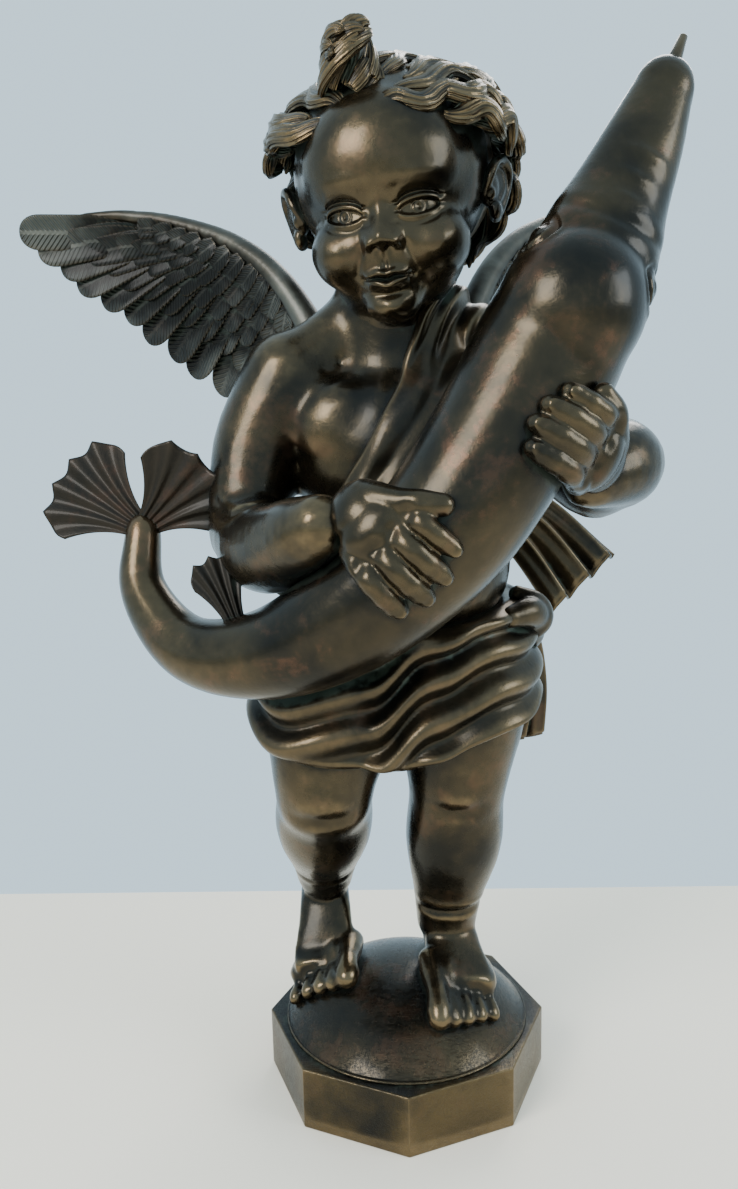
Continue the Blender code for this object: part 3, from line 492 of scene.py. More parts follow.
earRims = (  # the outer and the inner rim: x, y, z, radius
    ((5.3, -0.55, -0.6, 0.2), (5.7, -0.65, 0.3, 0.26), (6.05, -0.1, 1.05, 0.3),
     (6.4, 0.7, 1.15, 0.32), (6.6, 1.3, 0.5, 0.31), (6.45, 1.3, -0.4, 0.29),
     (6.1, 0.75, -1.3, 0.3), (5.75, 0.3, -1.8, 0.38)),
    ((5.95, 0.15, 0.75, 0.14), (6.25, 0.75, 0.45, 0.2), (6.25, 0.8, -0.3, 0.22),
     (5.95, 0.3, -0.95, 0.24)))
earLumps = (  # centre, radii and lean: two shells, the flap in front and the lobe
    ((5.9, 0.45, -0.2), (0.3, 1.05, 1.4), -32), ((5.5, 0.0, -0.2), (0.5, 0.8, 1.1), -32),
    ((5.62, -0.45, -0.55), (0.3, 0.26, 0.4), 0), ((5.78, 0.2, -1.45), (0.4, 0.6, 0.62), 0))
earVoxel = 0.09


def makeEars():
    clay = Clay()
    for side in (-1, 1):
        for rim in earRims:
            clay.tube([(*onHead((side * x, y, z)), radius) for x, y, z, radius in rim], 6)
        for (x, y, z), radii, lean in earLumps:
            clay.egg((side * x, y, z), radii, turnBy(side * lean, "Z"), headFrame)
    return clay.fused("ears", earVoxel, 3)


# Hands: palm, four fingers and a thumb that lie on the dolphin

hands = (  # share of the dolphin's length, angles from wrist to finger tips, reach of the thumb
    (0.428, (-72, 18), 0.042),
    (0.562, (98, 8), 0.04))
palm = (  # place from wrist to tips, lift, and sizes along the dolphin, round it and outwards
    (0.14, 1.2, (1.8, 1.9, 1.25)), (0.32, 1.05, (2.0, 1.7, 1.1)), (0.44, 0.85, (2.05, 1.2, 0.85)))
fingers = {"voxel": 0.1, "spread": 0.0168, "first": 0.34, "steps": 12, "sides": 18,
           "reach": (0.93, 1.0, 0.98, 0.89), "thick": (1.0, 1.02, 1.0, 0.9),
           "nail": (0.4, 0.46, 0.13),
           "lift": ((0.34, 0.7), (0.55, 0.92), (0.66, 1.0), (0.78, 0.9), (0.9, 0.62), (1, 0.38)),
           "size": ((0.34, 0.72), (0.52, 0.76), (0.6, 0.7), (0.68, 0.76), (0.76, 0.68),
                    (0.83, 0.72), (0.88, 0.66), (0.95, 0.66), (1, 0.55)),
           "thumb": ((0, 1.2, 1.15), (0.25, 1.1, 1.0), (0.5, 1.0, 0.8),
                     (0.75, 0.85, 0.82), (1, 0.5, 0.62))}


def makeHand(share, angles, thumb):
    clay = Clay()

    def spot(along, turn, lift):  # a place over the dolphin, and its three directions there
        angle = angles[0] + (angles[1] - angles[0]) * turn
        ahead, out = dolphinFrame(along)[2], wayOut(along, angle)
        return onDolphin(along, angle, lift), (ahead, np.cross(out, ahead), out)

    def pad(along, turn, lift, radii):
        place, ways = spot(along, turn, lift)
        clay.egg(place, radii, turnTo(*ways))

    for turn, lift, radii in palm:
        pad(share, turn, lift, radii)
    turns = np.linspace(fingers["first"], 1, fingers["steps"])
    lifts, sizes = (np.interp(turns, *zip(*fingers[key])) for key in ("lift", "size"))
    for i, (reach, thick) in enumerate(zip(fingers["reach"], fingers["thick"])):
        step = (i - 1.5) * fingers["spread"]
        clay.tube([(*spot(share + step * (0.9 + 0.14 * t), t * reach, lift)[0], size * thick)
                   for t, lift, size in zip(turns, lifts, sizes)], 3, fingers["sides"])
        pad(share + step * 1.03, 0.985 * reach, 0.93, fingers["nail"])
    clay.tube([(*spot(share + thumb * (0.2 + 0.8 * t), 0.12 + 0.5 * t, lift)[0], size)
               for t, lift, size in fingers["thumb"]], 6, fingers["sides"])
    mesh = clay.fused("hand", fingers["voxel"], 6)
    inwards = -0.24 * spot(share, 0.5, 0)[1][2]
    for i in range(4):  # dimples over the knuckles
        knuckle = spot(share + (i - 1.5) * fingers["spread"] * 0.95, 0.5, 1.7)[0]
        press(mesh, knuckle, (0.4, 0.4, 0.5), inwards)
    return mesh


# Legs: the left one carries the weight, the right one is bent with its heel raised

legTubes = (
    ((3.6, 0.5, 23.0, 4.6), (3.9, -0.1, 18.6, 4.6), (3.8, -0.5, 14.8, 3.7), (3.7, -0.4, 12.8, 3.3)),
    ((3.7, -0.4, 13.0, 3.2), (3.5, 0.5, 8.8, 3.4), (3.1, 0.9, 4.8, 2.5), (3.0, 1.1, 2.6, 2.2)),
    ((-3.3, 0.2, 22.8, 4.7), (-4.5, -1.0, 18.8, 4.7), (-5.1, -2.0, 15.0, 3.7),
     (-5.2, -2.2, 13.4, 3.3)),
    ((-5.2, -2.0, 13.8, 3.2), (-5.5, 0.6, 10.0, 3.4), (-5.7, 3.0, 6.6, 2.5),
     (-5.8, 3.9, 4.8, 2.15)))
legFolds = (  # below, above and behind each knee, and round each ankle
    ([(0.6, -5, 12.2), (2.4, -6, 11.6), (4.6, -6, 11.6), (6.4, -5, 12.2)], 0.5, 0.17),
    ([(0.8, -5, 15.8), (3.4, -6, 16.3), (6.2, -5, 15.8)], 0.6, 0.08),
    ([(-8.0, -5, 12.6), (-6.2, -7, 11.9), (-4.2, -7, 11.9), (-2.4, -5, 12.7)], 0.5, 0.17),
    ([(-8.0, -6, 16.4), (-5.4, -7, 17.0), (-2.8, -6, 16.4)], 0.6, 0.08),
    ([(1.0, 5, 13.2), (3.4, 6, 13.0), (6.0, 5, 13.4)], 0.4, 0.16),
    ([(-7.6, 3, 13.4), (-5.4, 4, 13.0), (-3.2, 3, 13.4)], 0.4, 0.16),
    ([(0.8, 0.6, 4.3), (1.4, -1.4, 4.1), (3.2, -2.0, 4.0), (4.9, -1.0, 4.1),
      (5.4, 0.8, 4.3)], 0.3, 0.22),
    ([(-8.0, 3.8, 6.4), (-7.2, 1.8, 6.0), (-5.6, 1.2, 5.8), (-4.2, 2.0, 6.0),
      (-3.6, 3.8, 6.4)], 0.3, 0.12))
legVoxel = 0.19
feet = (  # heel, ball of the foot, heading in degrees, side of the big toe
    ((3.0, 2.2, 1.5), (3.6, -2.6), 10, -1),
    ((-5.9, 4.9, 3.2), (-5.7, 0.9), -6, 1))
footSides, footRings = 28, 40
toes = ((0.86, 2.7), (0.6, 2.6), (0.56, 2.35), (0.52, 2.0), (0.5, 1.6))  # radius and reach
toeRows = (  # share of the reach, lift and thickness as shares of the radius
    (0.35, 1.15, 0.88), (0.6, 1.2, 0.84), (0.85, 0.95, 1.0), (1.0, 0.8, 0.95))


def footClay(clay, heel, ball, heading, inner):
    way = radians(heading)
    ahead = unitVector((sin(way), -cos(way), 0))
    across = inner * np.array((cos(way), sin(way), 0))
    heel, middle = np.array(heel), np.array(onDome(ball, 0.95))
    front = middle + ahead * 0.9 - (0, 0, 0.25)

    def between(share, lift):  # from the heel to the ball of the foot
        return heel * (1 - share) + middle * share + (0, 0, lift)

    rows = smoothPath([  # centre, half the width and half the height, from the heel forwards
        (*(heel + ahead * -1.6), 0.5, 0.6), (*(heel + ahead * -1.2), 1.3, 1.25),
        (*heel, 1.75, 1.65), (*between(0.38, 0.45), 1.9, 1.85), (*between(0.65, 0.3), 2.05, 1.5),
        (*between(0.88, 0.1), 2.3, 1.12), (*middle, 2.35, 0.95), (*front, 2.15, 0.66)], footRings)
    angles = np.linspace(0, 2 * pi, footSides, endpoint=False)
    flatSole = np.where(np.sin(angles) < 0, 0.6, 1)
    up = np.sign(np.sin(angles)) * np.abs(np.sin(angles)) ** flatSole
    clay.grid([row[:3] + (row[3] * np.cos(angles))[:, None] * across
               + (row[4] * up)[:, None] * np.array((0, 0, 1)) for row in rows])
    nailTurn = turnTo(np.cross(ahead, (0, 0, 1)), ahead, (0, 0, 1)) @ turnBy(-22, "X")
    for i, (radius, reach) in enumerate(toes):
        out = 1.72 - 0.88 * i
        root = np.array((*ball, 0)) + across * out
        toe = ahead * reach + across * out * 0.12
        rows = [(*onDome(root - ahead * 1.2, 1.1), 0.9), (*onDome(root, 0.95), 0.92)]
        rows += [(*onDome(root + toe * share, radius * lift), radius * size)
                 for share, lift, size in toeRows]
        clay.tube(rows, 5, 18)
        nail = (0.55 * radius, 0.6 * radius, 0.16)
        clay.egg(onDome(root + toe * 1.06, radius * 1.62), nail, nailTurn)


def makeLegs():
    soft = Clay()
    for rows in legTubes:
        soft.tube(rows)
    soft.egg((3.7, -2.5, 13.6), (2.0, 1.6, 2.0))
    soft.egg((-5.2, -4.4, 14.0), (2.0, 1.5, 2.0))
    clay = Clay()
    clay.add(soft.fused("legs", body["voxel"], body["smoothing"], body["levels"]))
    for stance in feet:
        footClay(clay, *stance)
    return folded(clay.fused("legs", legVoxel, 5), legFolds)


# Nodes: sums on sockets, for shapes and for finishes

class Value:  # a socket that takes part in sums
    def __init__(self, maker, socket):
        self.maker = maker
        self.socket = socket

    def maths(self, operation, *others):
        return self.maker.maths(operation, self, *others)

    def __add__(self, other):
        return self.maths("ADD", other)

    def __sub__(self, other):
        return self.maths("SUBTRACT", other)

    def __mul__(self, other):
        return self.maths("MULTIPLY", other)

    def __truediv__(self, other):
        return self.maths("DIVIDE", other)

    def __pow__(self, other):
        return self.maths("POWER", other)

    def __rsub__(self, other):
        return self.maker.maths("SUBTRACT", other, self)

    def __rtruediv__(self, other):
        return self.maker.maths("DIVIDE", other, self)

    def __rpow__(self, other):
        return self.maker.maths("POWER", other, self)

    __radd__ = __add__
    __rmul__ = __mul__


class NodeMaker:  # what the trees of shapes and of finishes share
    def node(self, kind, settings=None, sockets=None, out=0):
        made = self.tree.nodes.new(kind)
        for key, value in (settings or {}).items():
            setattr(made, key, value)
        for key, value in (sockets or {}).items():
            self.join(made.inputs[key], value)
        return Value(self, made.outputs[out])

    def join(self, socket, value):
        if isinstance(value, Value):
            self.tree.links.new(value.socket, socket)
        else:
            socket.default_value = value

    def maths(self, operation, *values):
        return self.node("ShaderNodeMath", {"operation": operation}, dict(enumerate(values)))

    def parts(self, vector):  # its x, y and z
        outputs = self.node("ShaderNodeSeparateXYZ", {}, {0: vector}).socket.node.outputs
        return [Value(self, output) for output in outputs]


class NodeTree(NodeMaker):
    def __init__(self, name, sizes):  # sizes: the name and value of each input
        self.tree = bpy.data.node_groups.new(name, "GeometryNodeTree")
        face = self.tree.interface
        for way in ("INPUT", "OUTPUT"):
            face.new_socket("Geometry", in_out=way, socket_type="NodeSocketGeometry")
        self.values = {}
        for label, value in sizes.items():
            kind = "NodeSocketInt" if isinstance(value, int) else "NodeSocketFloat"
            socket = face.new_socket(label, in_out="INPUT", socket_type=kind)
            self.values[socket.identifier] = value
        self.entry = self.tree.nodes.new("NodeGroupInput")
        self.exit = self.tree.nodes.new("NodeGroupOutput")

    def size(self, label):
        return Value(self, self.entry.outputs[label])

    def shape(self, kind, sockets=None, settings=None):
        return self.node("GeometryNode" + kind, settings, sockets)

    def position(self):
        return self.shape("InputPosition")

    def vector(self, x=0.0, y=0.0, z=0.0):
        return self.node("ShaderNodeCombineXYZ", {}, {0: x, 1: y, 2: z})

    def attribute(self, name, kind="FLOAT_VECTOR"):
        return self.shape("InputNamedAttribute", {"Name": name}, {"data_type": kind})

    def store(self, geometry, name, vector):
        sockets = {"Geometry": geometry, "Name": name, "Value": vector}
        settings = {"data_type": "FLOAT_VECTOR", "domain": "POINT"}
        return self.shape("StoreNamedAttribute", sockets, settings)

    def finish(self, geometry, material):
        real = self.shape("RealizeInstances", {"Geometry": geometry})
        painted = self.shape("SetMaterial", {"Geometry": real, "Material": material})
        self.join(self.exit.inputs[0], painted)

    def grown(self, mesh):  # the mesh that the tree makes of a carrier mesh
        obj = linked("carrier", mesh)
        modifier = modify(obj, "NODES", node_group=self.tree)
        for identifier, value in self.values.items():
            modifier[identifier] = value
        return applied(obj)


def carrierMesh(points, edges, **attributes):
    mesh = newMesh("carrier", points, edges)
    for name, values in attributes.items():
        setAttribute(mesh, name, values)
    return mesh


# Hair: fluted locks that follow the scalp, and a twisted tuft over the brow

hair = {"seed": 11, "locks": 250, "length": (4.2, 6.2), "halfWidth": (0.52, 0.78), "curl": 2.4,
        "wave": 0.075, "waves": 1.4, "volume": 1.15, "steps": 20, "sides": 24, "flutes": 4.0,
        "fluteDepth": 0.12, "flatness": 0.6, "strands": 13, "tuftLocks": 15,
        "tuftRise": (1.7, 3.7), "tuftReach": (0.7, 1.7), "tuftTurn": (1.8, 3.4),
        "tuftWidth": (0.5, 0.68), "tuftFlick": (0.5, 1.3)}
lastStep = hair["steps"] - 1
scalp = np.array((5.85, 6.35, 5.75))
scalpRadius = 6.3
scalpCentre = np.array((0, 1.1, 1.1))
tuftPole = unitVector((-0.17, -0.58, 0.8))


def hairFlow(d):  # the way the hair is combed: off the tuft to both sides, then back and down
    down = smoothStep(-0.1, 0.8, d[1])
    away = (d - tuftPole) * (1 - down)
    return away + np.array((0, 0.85 - 0.75 * down, -0.1 - 0.9 * down))


def outOfHead(way):
    return np.array(headTurn.to_3x3() @ Vector(way))


def lockPath(start, length, width, curl, wave, phase, hook):
    here, rows, outs = unitVector(start), [], []
    for i in range(hair["steps"]):
        t = i / lastStep
        flow = hairFlow(here)
        ahead = unitVector(flow - np.dot(flow, here) * here)
        bend = wave * sin(2 * pi * hair["waves"] * t + phase) * min(1, 3 * t)
        bend += hook * max(0, t - 0.55) ** 2
        out = unitVector(here / scalp)
        loose = smoothStep(0.45, 0.95, abs(here[0]) + 0.5 * max(0, here[1]))
        lift = 0.12 + (0.25 + hair["volume"] * loose) * sin(pi * min(0.8, 0.9 * t))
        lift += curl * max(0, t - 0.6) ** 2 * 4
        full = 0.4 + 0.6 * sin(min(1, t / 0.35) * pi / 2)
        full *= max(0.0, 1 - max(0, (t - 0.5) / 0.5) ** 3) ** 0.8
        spot = scalpCentre + scalp * (here + np.cross(here, ahead) * bend) + out * lift
        rows.append((*onHead(spot), width * max(full, 0.12)))
        outs.append(outOfHead(out))
        here = unitVector(here + ahead * length / lastStep / scalpRadius)
    return rows, outs


def tuftPaths():  # short locks that rise over the brow, twist round each other and flick out
    random = np.random.default_rng(hair["seed"] + 1)
    root = scalpCentre + scalp * tuftPole - (0, 0, 0.5)
    found = []
    for i in range(hair["tuftLocks"]):
        rise, reach, twist, width, flick = (random.uniform(*hair[key]) for key in (
            "tuftRise", "tuftReach", "tuftTurn", "tuftWidth", "tuftFlick"))
        rows, outs = [], []
        for t in np.linspace(0, 1, hair["steps"]):
            a = 2.4 * i + twist * t
            away = reach * (1 - 0.45 * t) + flick * max(0, t - 0.6) ** 1.5 * 3
            lift = rise * sin(pi * (0.08 + 0.56 * t)) * (0.75 + 0.25 * t)
            spot = root + (away * cos(a), 0.85 * away * sin(a) - 0.5 * t, lift)
            full = (1 - t**3) ** 0.5 * (0.7 + 0.3 * min(1, 3 * t))
            rows.append((*onHead(spot), width * full + 0.05))
            outs.append(outOfHead((cos(a), 0.8 * sin(a), 0.35)))
        found.append((rows, outs))
    return found


def allLocks():
    random = np.random.default_rng(hair["seed"])
    found = tuftPaths()
    for i in range(hair["locks"]):  # spread evenly over a ball, then kept where hair grows
        up = 1 - 2 * (i + 0.5) / hair["locks"]
        around = i * pi * (3 - sqrt(5))
        d = np.array((sqrt(1 - up * up) * sin(around), -sqrt(1 - up * up) * cos(around), up))
        brow = 0.6 * max(0, -d[1]) + 0.06 - 1.15 * max(0, d[1]) - 0.06 * abs(d[0])
        length, width = random.uniform(*hair["length"]), random.uniform(*hair["halfWidth"])
        curl, phase = random.uniform(0.1, 1.0), random.uniform(0, 2 * pi)
        hook = random.uniform(-1, 1) * hair["curl"]
        wave = hair["wave"] * random.uniform(0.6, 1.2)
        temple = smoothStep(0.5, 0.85, abs(d[0])) * smoothStep(0.45, 0.0, d[1])
        if up < brow or (abs(d[0]) > 0.86 and up < 0.3 and d[1] < 0.1):
            continue
        found.append(lockPath(d, length * (1 - 0.45 * temple), width, curl * (1 - 0.8 * temple),
                              wave, phase, hook * (1 - 0.7 * temple)))
    return found


def makeHair(material):
    points, edges, radii, outs = [], [], [], []
    for rows, facing in allLocks():
        edges += [(len(points) + i, len(points) + i + 1) for i in range(lastStep)]
        points += [row[:3] for row in rows]
        radii += [row[3] for row in rows]
        outs += facing
    tree = NodeTree("Fluted locks", {
        "Sides": hair["sides"], "Flutes": hair["flutes"], "Flute depth": hair["fluteDepth"],
        "Flatness": hair["flatness"]})
    curve = tree.shape("MeshToCurve", {"Mesh": tree.size("Geometry")})
    inputs = {"Curve": curve, "Normal": tree.attribute("out")}
    curve = tree.shape("SetCurveNormal", inputs, {"mode": "FREE"})
    place = tree.position()
    x, y, _ = tree.parts(place)
    flute = (y.maths("ARCTAN2", x) * (tree.size("Flutes") * 2.0)).maths("COSINE")
    swell = flute * tree.size("Flute depth") + 1.0
    section = tree.vector(x * (tree.size("Flatness") * swell), y * swell)
    ring = tree.shape("CurvePrimitiveCircle", {"Resolution": tree.size("Sides"), "Radius": 1.0})
    ring = tree.store(ring, "strand", place)
    ring = tree.shape("SetPosition", {"Geometry": ring, "Position": section})
    locks = tree.shape("CurveToMesh", {
        "Curve": curve, "Profile Curve": ring, "Scale": tree.attribute("radius_cm", "FLOAT"),
        "Fill Caps": True})
    tree.finish(locks, material)
    return tree.grown(carrierMesh(points, edges, radius_cm=radii, out=outs))


def makeHairCap():  # what shows between the locks
    clay = Clay()
    clay.egg((0, 2.1, 1.3), (5.86, 5.6, 5.75), turnBy(24, "X"), headFrame)
    return clay.raw("hair_cap")


# Wings: overlapping feathers on a rounded leading edge

wings = {"seed": 5, "sweepRight": 38, "sweepLeft": 56, "tilt": 6, "bend": 0.13, "feathersAlong": 18,
         "feathersAcross": 14, "shaftHeight": 0.07, "thickness": 0.11, "droop": 0.16,
         "edgeSteps": 14, "edgePlaces": 200, "boneSides": 24, "boneVoxel": 0.2}
wingEdge = [(0, 0), (1.7, 3.1), (3.8, 6.5), (6.6, 9.5), (10.2, 11.7), (14.2, 13.1), (18.2, 14.0),
            (22.0, 14.4)]
wingRoot = np.array((3.2, 4.8, 39.0))
wingBones = (  # start at the back, then places on the wing: out, up, off its face, radius
    ((2.4, 2.6, 39.5, 2.2), ((0.2, -0.6, 0.1, 1.9), (1.6, 1.4, 0.2, 1.6))),
    ((2.6, 2.8, 35.5, 1.8), ((0.4, -3.4, 0.2, 1.3), (1.6, -1.4, 0.2, 1.1))))
featherRows = (  # first and last place on the edge, length at root and tip, width, lift, drop
    (0.07, 0.94, (9.2, 10.4), 3.2, 0.0, 0.8), (0.06, 0.88, (6.2, 7.4), 2.7, 0.3, 1.2),
    (0.05, 0.80, (4.2, 4.9), 2.4, 0.52, 1.4), (0.04, 0.76, (2.8, 3.1), 2.1, 0.74, 1.2),
    (0.03, 0.80, (1.9, 2.0), 1.8, 0.9, 0.5))
feathersInRow = 17
featherAngles = ((0, 0.4, 0.46, 1), (-98, -70, -54, 0))  # along the edge, from the body out


def wingPoint(side, u, v, w):  # u outwards, v upwards and w off the wing's face
    sweep = radians(wings["sweepRight"] if side < 0 else wings["sweepLeft"])
    x = u * cos(sweep) + w * sin(sweep)
    y = u * sin(sweep) - w * cos(sweep) - 0.012 * u * u
    return np.array((side * (wingRoot[0] + x), wingRoot[1] + y, wingRoot[2] + v))


def featherPlaces(side):
    random = np.random.default_rng(wings["seed"] + side)
    places = wings["edgePlaces"]
    edge = smoothPath(wingEdge, places + 1)
    roots, alongs, facings, sizes = [], [], [], []
    for face in (1, -1):
        rows = featherRows if face > 0 else featherRows[1:4]
        for low, high, length, width, lift, drop in rows:
            for i in range(feathersInRow):
                t = i / (feathersInRow - 1)
                u, v = edge[int(places * (low + (high - low) * t))]
                angle = radians(np.interp(t, *featherAngles) + random.uniform(-1.5, 1.5))
                long = (length[0] + (length[1] - length[0]) * t) * random.uniform(0.97, 1.03)
                height = v - drop - 0.25 * width * t**1.5
                here = wingPoint(side, u + 0.2, height, lift * face)
                there = wingPoint(side, u + 0.2 + cos(angle) * long, height + sin(angle) * long,
                                  (lift + 0.12) * face)
                along = unitVector(there - here)
                out = unitVector(wingPoint(side, u, v, face) - wingPoint(side, u, v, 0))
                tilt = radians(wings["tilt"]) * side * face
                thick = 1.3 if lift == 0 else 1.0  # the long ones have stronger shafts
                roots.append(here)
                alongs.append(along)
                facings.append(out * cos(tilt) + np.cross(along, out) * sin(tilt))
                sizes.append((width * (1 - 0.2 * t) / 2, np.linalg.norm(there - here), thick))
    return roots, alongs, facings, sizes


def featherTree(material):
    tree = NodeTree("Feathers", {
        "Along": wings["feathersAlong"], "Across": wings["feathersAcross"], "Bend": wings["bend"],
        "Shaft height": wings["shaftHeight"], "Thickness": wings["thickness"],
        "Droop": wings["droop"]})
    shaft = tree.shape("CurvePrimitiveLine", {"Start": (0, 0, 0), "End": (0, 1, 0)})
    shaft = tree.shape("ResampleCurve", {"Curve": shaft, "Count": tree.size("Along")})
    spaced = 1.0 - (1.0 - tree.shape("SplineParameter")) ** 2.0  # closer towards the tip
    shaft = tree.shape("SetPosition", {"Geometry": shaft, "Position": tree.vector(y=spaced)})
    shaft = tree.shape("SetCurveNormal", {"Curve": shaft}, {"mode": "Z_UP"})
    along = tree.parts(tree.position())[1]
    tip = ((along - 0.8) / 0.2).maths("MAXIMUM", 0.0)
    rounded = (1.0 - tip**2.2).maths("MAXIMUM", 0.0005).maths("SQRT")
    quill = (along * 3.0).maths("MINIMUM", 1.0) * 0.35 + 0.65
    x, y, _ = tree.parts(tree.position())
    middle = 2.718 ** ((x * 9.0) ** 2.0 * -1.0)
    top = y.maths("GREATER_THAN", 0.0) * (middle * tree.size("Shaft height"))
    height = y * tree.size("Thickness") + top - x * x * tree.size("Droop")
    ring = tree.shape("CurvePrimitiveCircle", {"Resolution": tree.size("Across"), "Radius": 1.0})
    ring = tree.shape("SetPosition", {"Geometry": ring, "Position": tree.vector(x, height)})
    blade = tree.shape("CurveToMesh", {
        "Curve": shaft, "Profile Curve": ring, "Scale": rounded * quill, "Fill Caps": True})
    place = tree.position()
    blade = tree.store(blade, "feather", place)
    sag = tree.parts(place)[1] ** 2.0 * (tree.size("Bend") * -1.0)
    blade = tree.shape("SetPosition", {"Geometry": blade, "Offset": tree.vector(z=sag)})
    turned = tree.node("FunctionNodeAxesToRotation", {"primary_axis": "Y", "secondary_axis": "Z"}, {
        "Primary Axis": tree.attribute("along"), "Secondary Axis": tree.attribute("facing")})
    placed = tree.shape("InstanceOnPoints", {
        "Points": tree.size("Geometry"), "Instance": blade, "Rotation": turned,
        "Scale": tree.attribute("size")})
    tree.finish(placed, material)
    return tree


def makeWing(side, tree):
    roots, alongs, facings, sizes = featherPlaces(side)
    feathers = tree.grown(carrierMesh(roots, [], along=alongs, facing=facings, size=sizes))
    last = wings["edgeSteps"] - 1
    front = [(u, v - 0.5, 0.2, 1.25 - 0.8 * i / last)
             for i, (u, v) in enumerate(smoothPath(wingEdge, wings["edgeSteps"]))]
    front.append((26.5, 13.9, 0.1, 0.22))
    clay = Clay()
    for (x, y, z, radius), rows in (((2.2, 3.8, 37.0, 1.8), front), *wingBones):
        path = [(*wingPoint(side, u, v, w), thick) for u, v, w, thick in rows]
        clay.tube([(side * x, y, z, radius), *path], 6, wings["boneSides"])
    return feathers, clay.fused("bone", wings["boneVoxel"], 8)


# Dolphin: a blended body with a tooled head, and ribbed fans for its fins

dolphin = {"voxel": 0.36, "fineVoxel": 0.24, "melon": 0.675, "head": 0.70, "eyes": 0.722,
           "jawSides": 40, "jawRings": 26, "tipRings": 9,
           "eyeRadius": 0.72, "beakSteps": (0.800, 0.834, 0.868), "snout": 1.05,
           "mouth": ((0.99, 96), (0.95, 98), (0.9, 101), (0.85, 104), (0.80, 106), (0.765, 100),
                     (0.75, 90)),
           "scallop": 0.05, "finThickness": 0.62, "finRows": 34, "perRib": 12,
           "flukes": (7.6, 7.2), "backFin": 5.6,  # lengths; then spread, ribs, depth and cup
           "flukeShape": (37, 5, 0.13, 0.35), "backFinShape": (22, 4, 0.1, 0)}
# First and last share, shift to the front, half width and half height, length of the tip.
# The shift, width and height are shares of the dolphin's radius.
jaws = (
    (0.70, 1.0, 0.34, 1.10, 0.80, 2.0),
    (0.70, 0.955, -0.52, 0.92, 0.62, 1.3))


def jawLoops(first, last, shift, wide, high, end):  # a tapered jaw with a rounded tip
    stations = [(share, 0, min(1, 0.84 + 2 * (share - first)))
                for share in np.linspace(first, last, dolphin["jawRings"])]
    stations += [(last, end * sin(a), max(cos(a), 0.05))
                 for a in np.linspace(0.12, pi / 2, dolphin["tipRings"])]
    loops = []
    for share, past, scale in stations:
        centre, radius, along, front, side = dolphinFrame(share)
        middle = centre + along * past + front * (shift * radius)
        ring = ellipse(dolphin["jawSides"], side * wide, front * high)
        loops.append(middle + ring * radius * scale)
    return loops


def fan(clay, root, ahead, facing, length, spread, ribs, depth, cup):
    ahead = unitVector(ahead)
    across = unitVector(np.cross(ahead, facing))
    out = np.cross(across, ahead)
    q = np.linspace(-1, 1, dolphin["perRib"] * ribs + 1)
    notches = dolphin["scallop"] * np.abs(np.sin(ribs * pi * (q + 1) / 2))
    corners = 0.05 * q * q + 0.2 * q**8
    outer, inner = [], []
    for t in np.linspace(0, 1, dolphin["finRows"]):
        angle = q * radians(spread) * (0.5 + 0.5 * t)
        reach = length * t * (1 - t**3 * notches - corners)
        flat = reach[:, None] * (np.cos(angle)[:, None] * ahead + np.sin(angle)[:, None] * across)
        narrow = 0.55 * (1 - t) ** 2 * q[:, None] * across
        middle = np.array(root) + flat + narrow
        wave = depth * t**0.6 * np.cos(ribs * pi * (q + 1)) + cup * (q * q) * t
        half = dolphin["finThickness"] * (1 - 0.62 * t) / 2 * np.clip(1 - q**8, 0.25, 1)
        outer.append(middle + out * (wave + half)[:, None])
        inner.append(middle + out * (wave - half)[:, None])
    clay.sheet(outer, inner)


def makeFins():
    fins = Clay()
    root = dolphinPath[0, :3]
    for turn, length in zip((-1, 1), dolphin["flukes"]):
        ahead = np.array((-0.1 + turn * 0.8, -0.2 * turn, 0.62))
        fan(fins, root - ahead * 0.7, ahead, (0.15, -1, 0.1), length, *dolphin["flukeShape"])
    base, peak = onDolphin(0.25, -82, -1.6), onDolphin(0.18, -82, 3.6)
    fan(fins, base, peak - base, (0.1, -1, 0.1), dolphin["backFin"], *dolphin["backFinShape"])
    return fins.raw("fins")


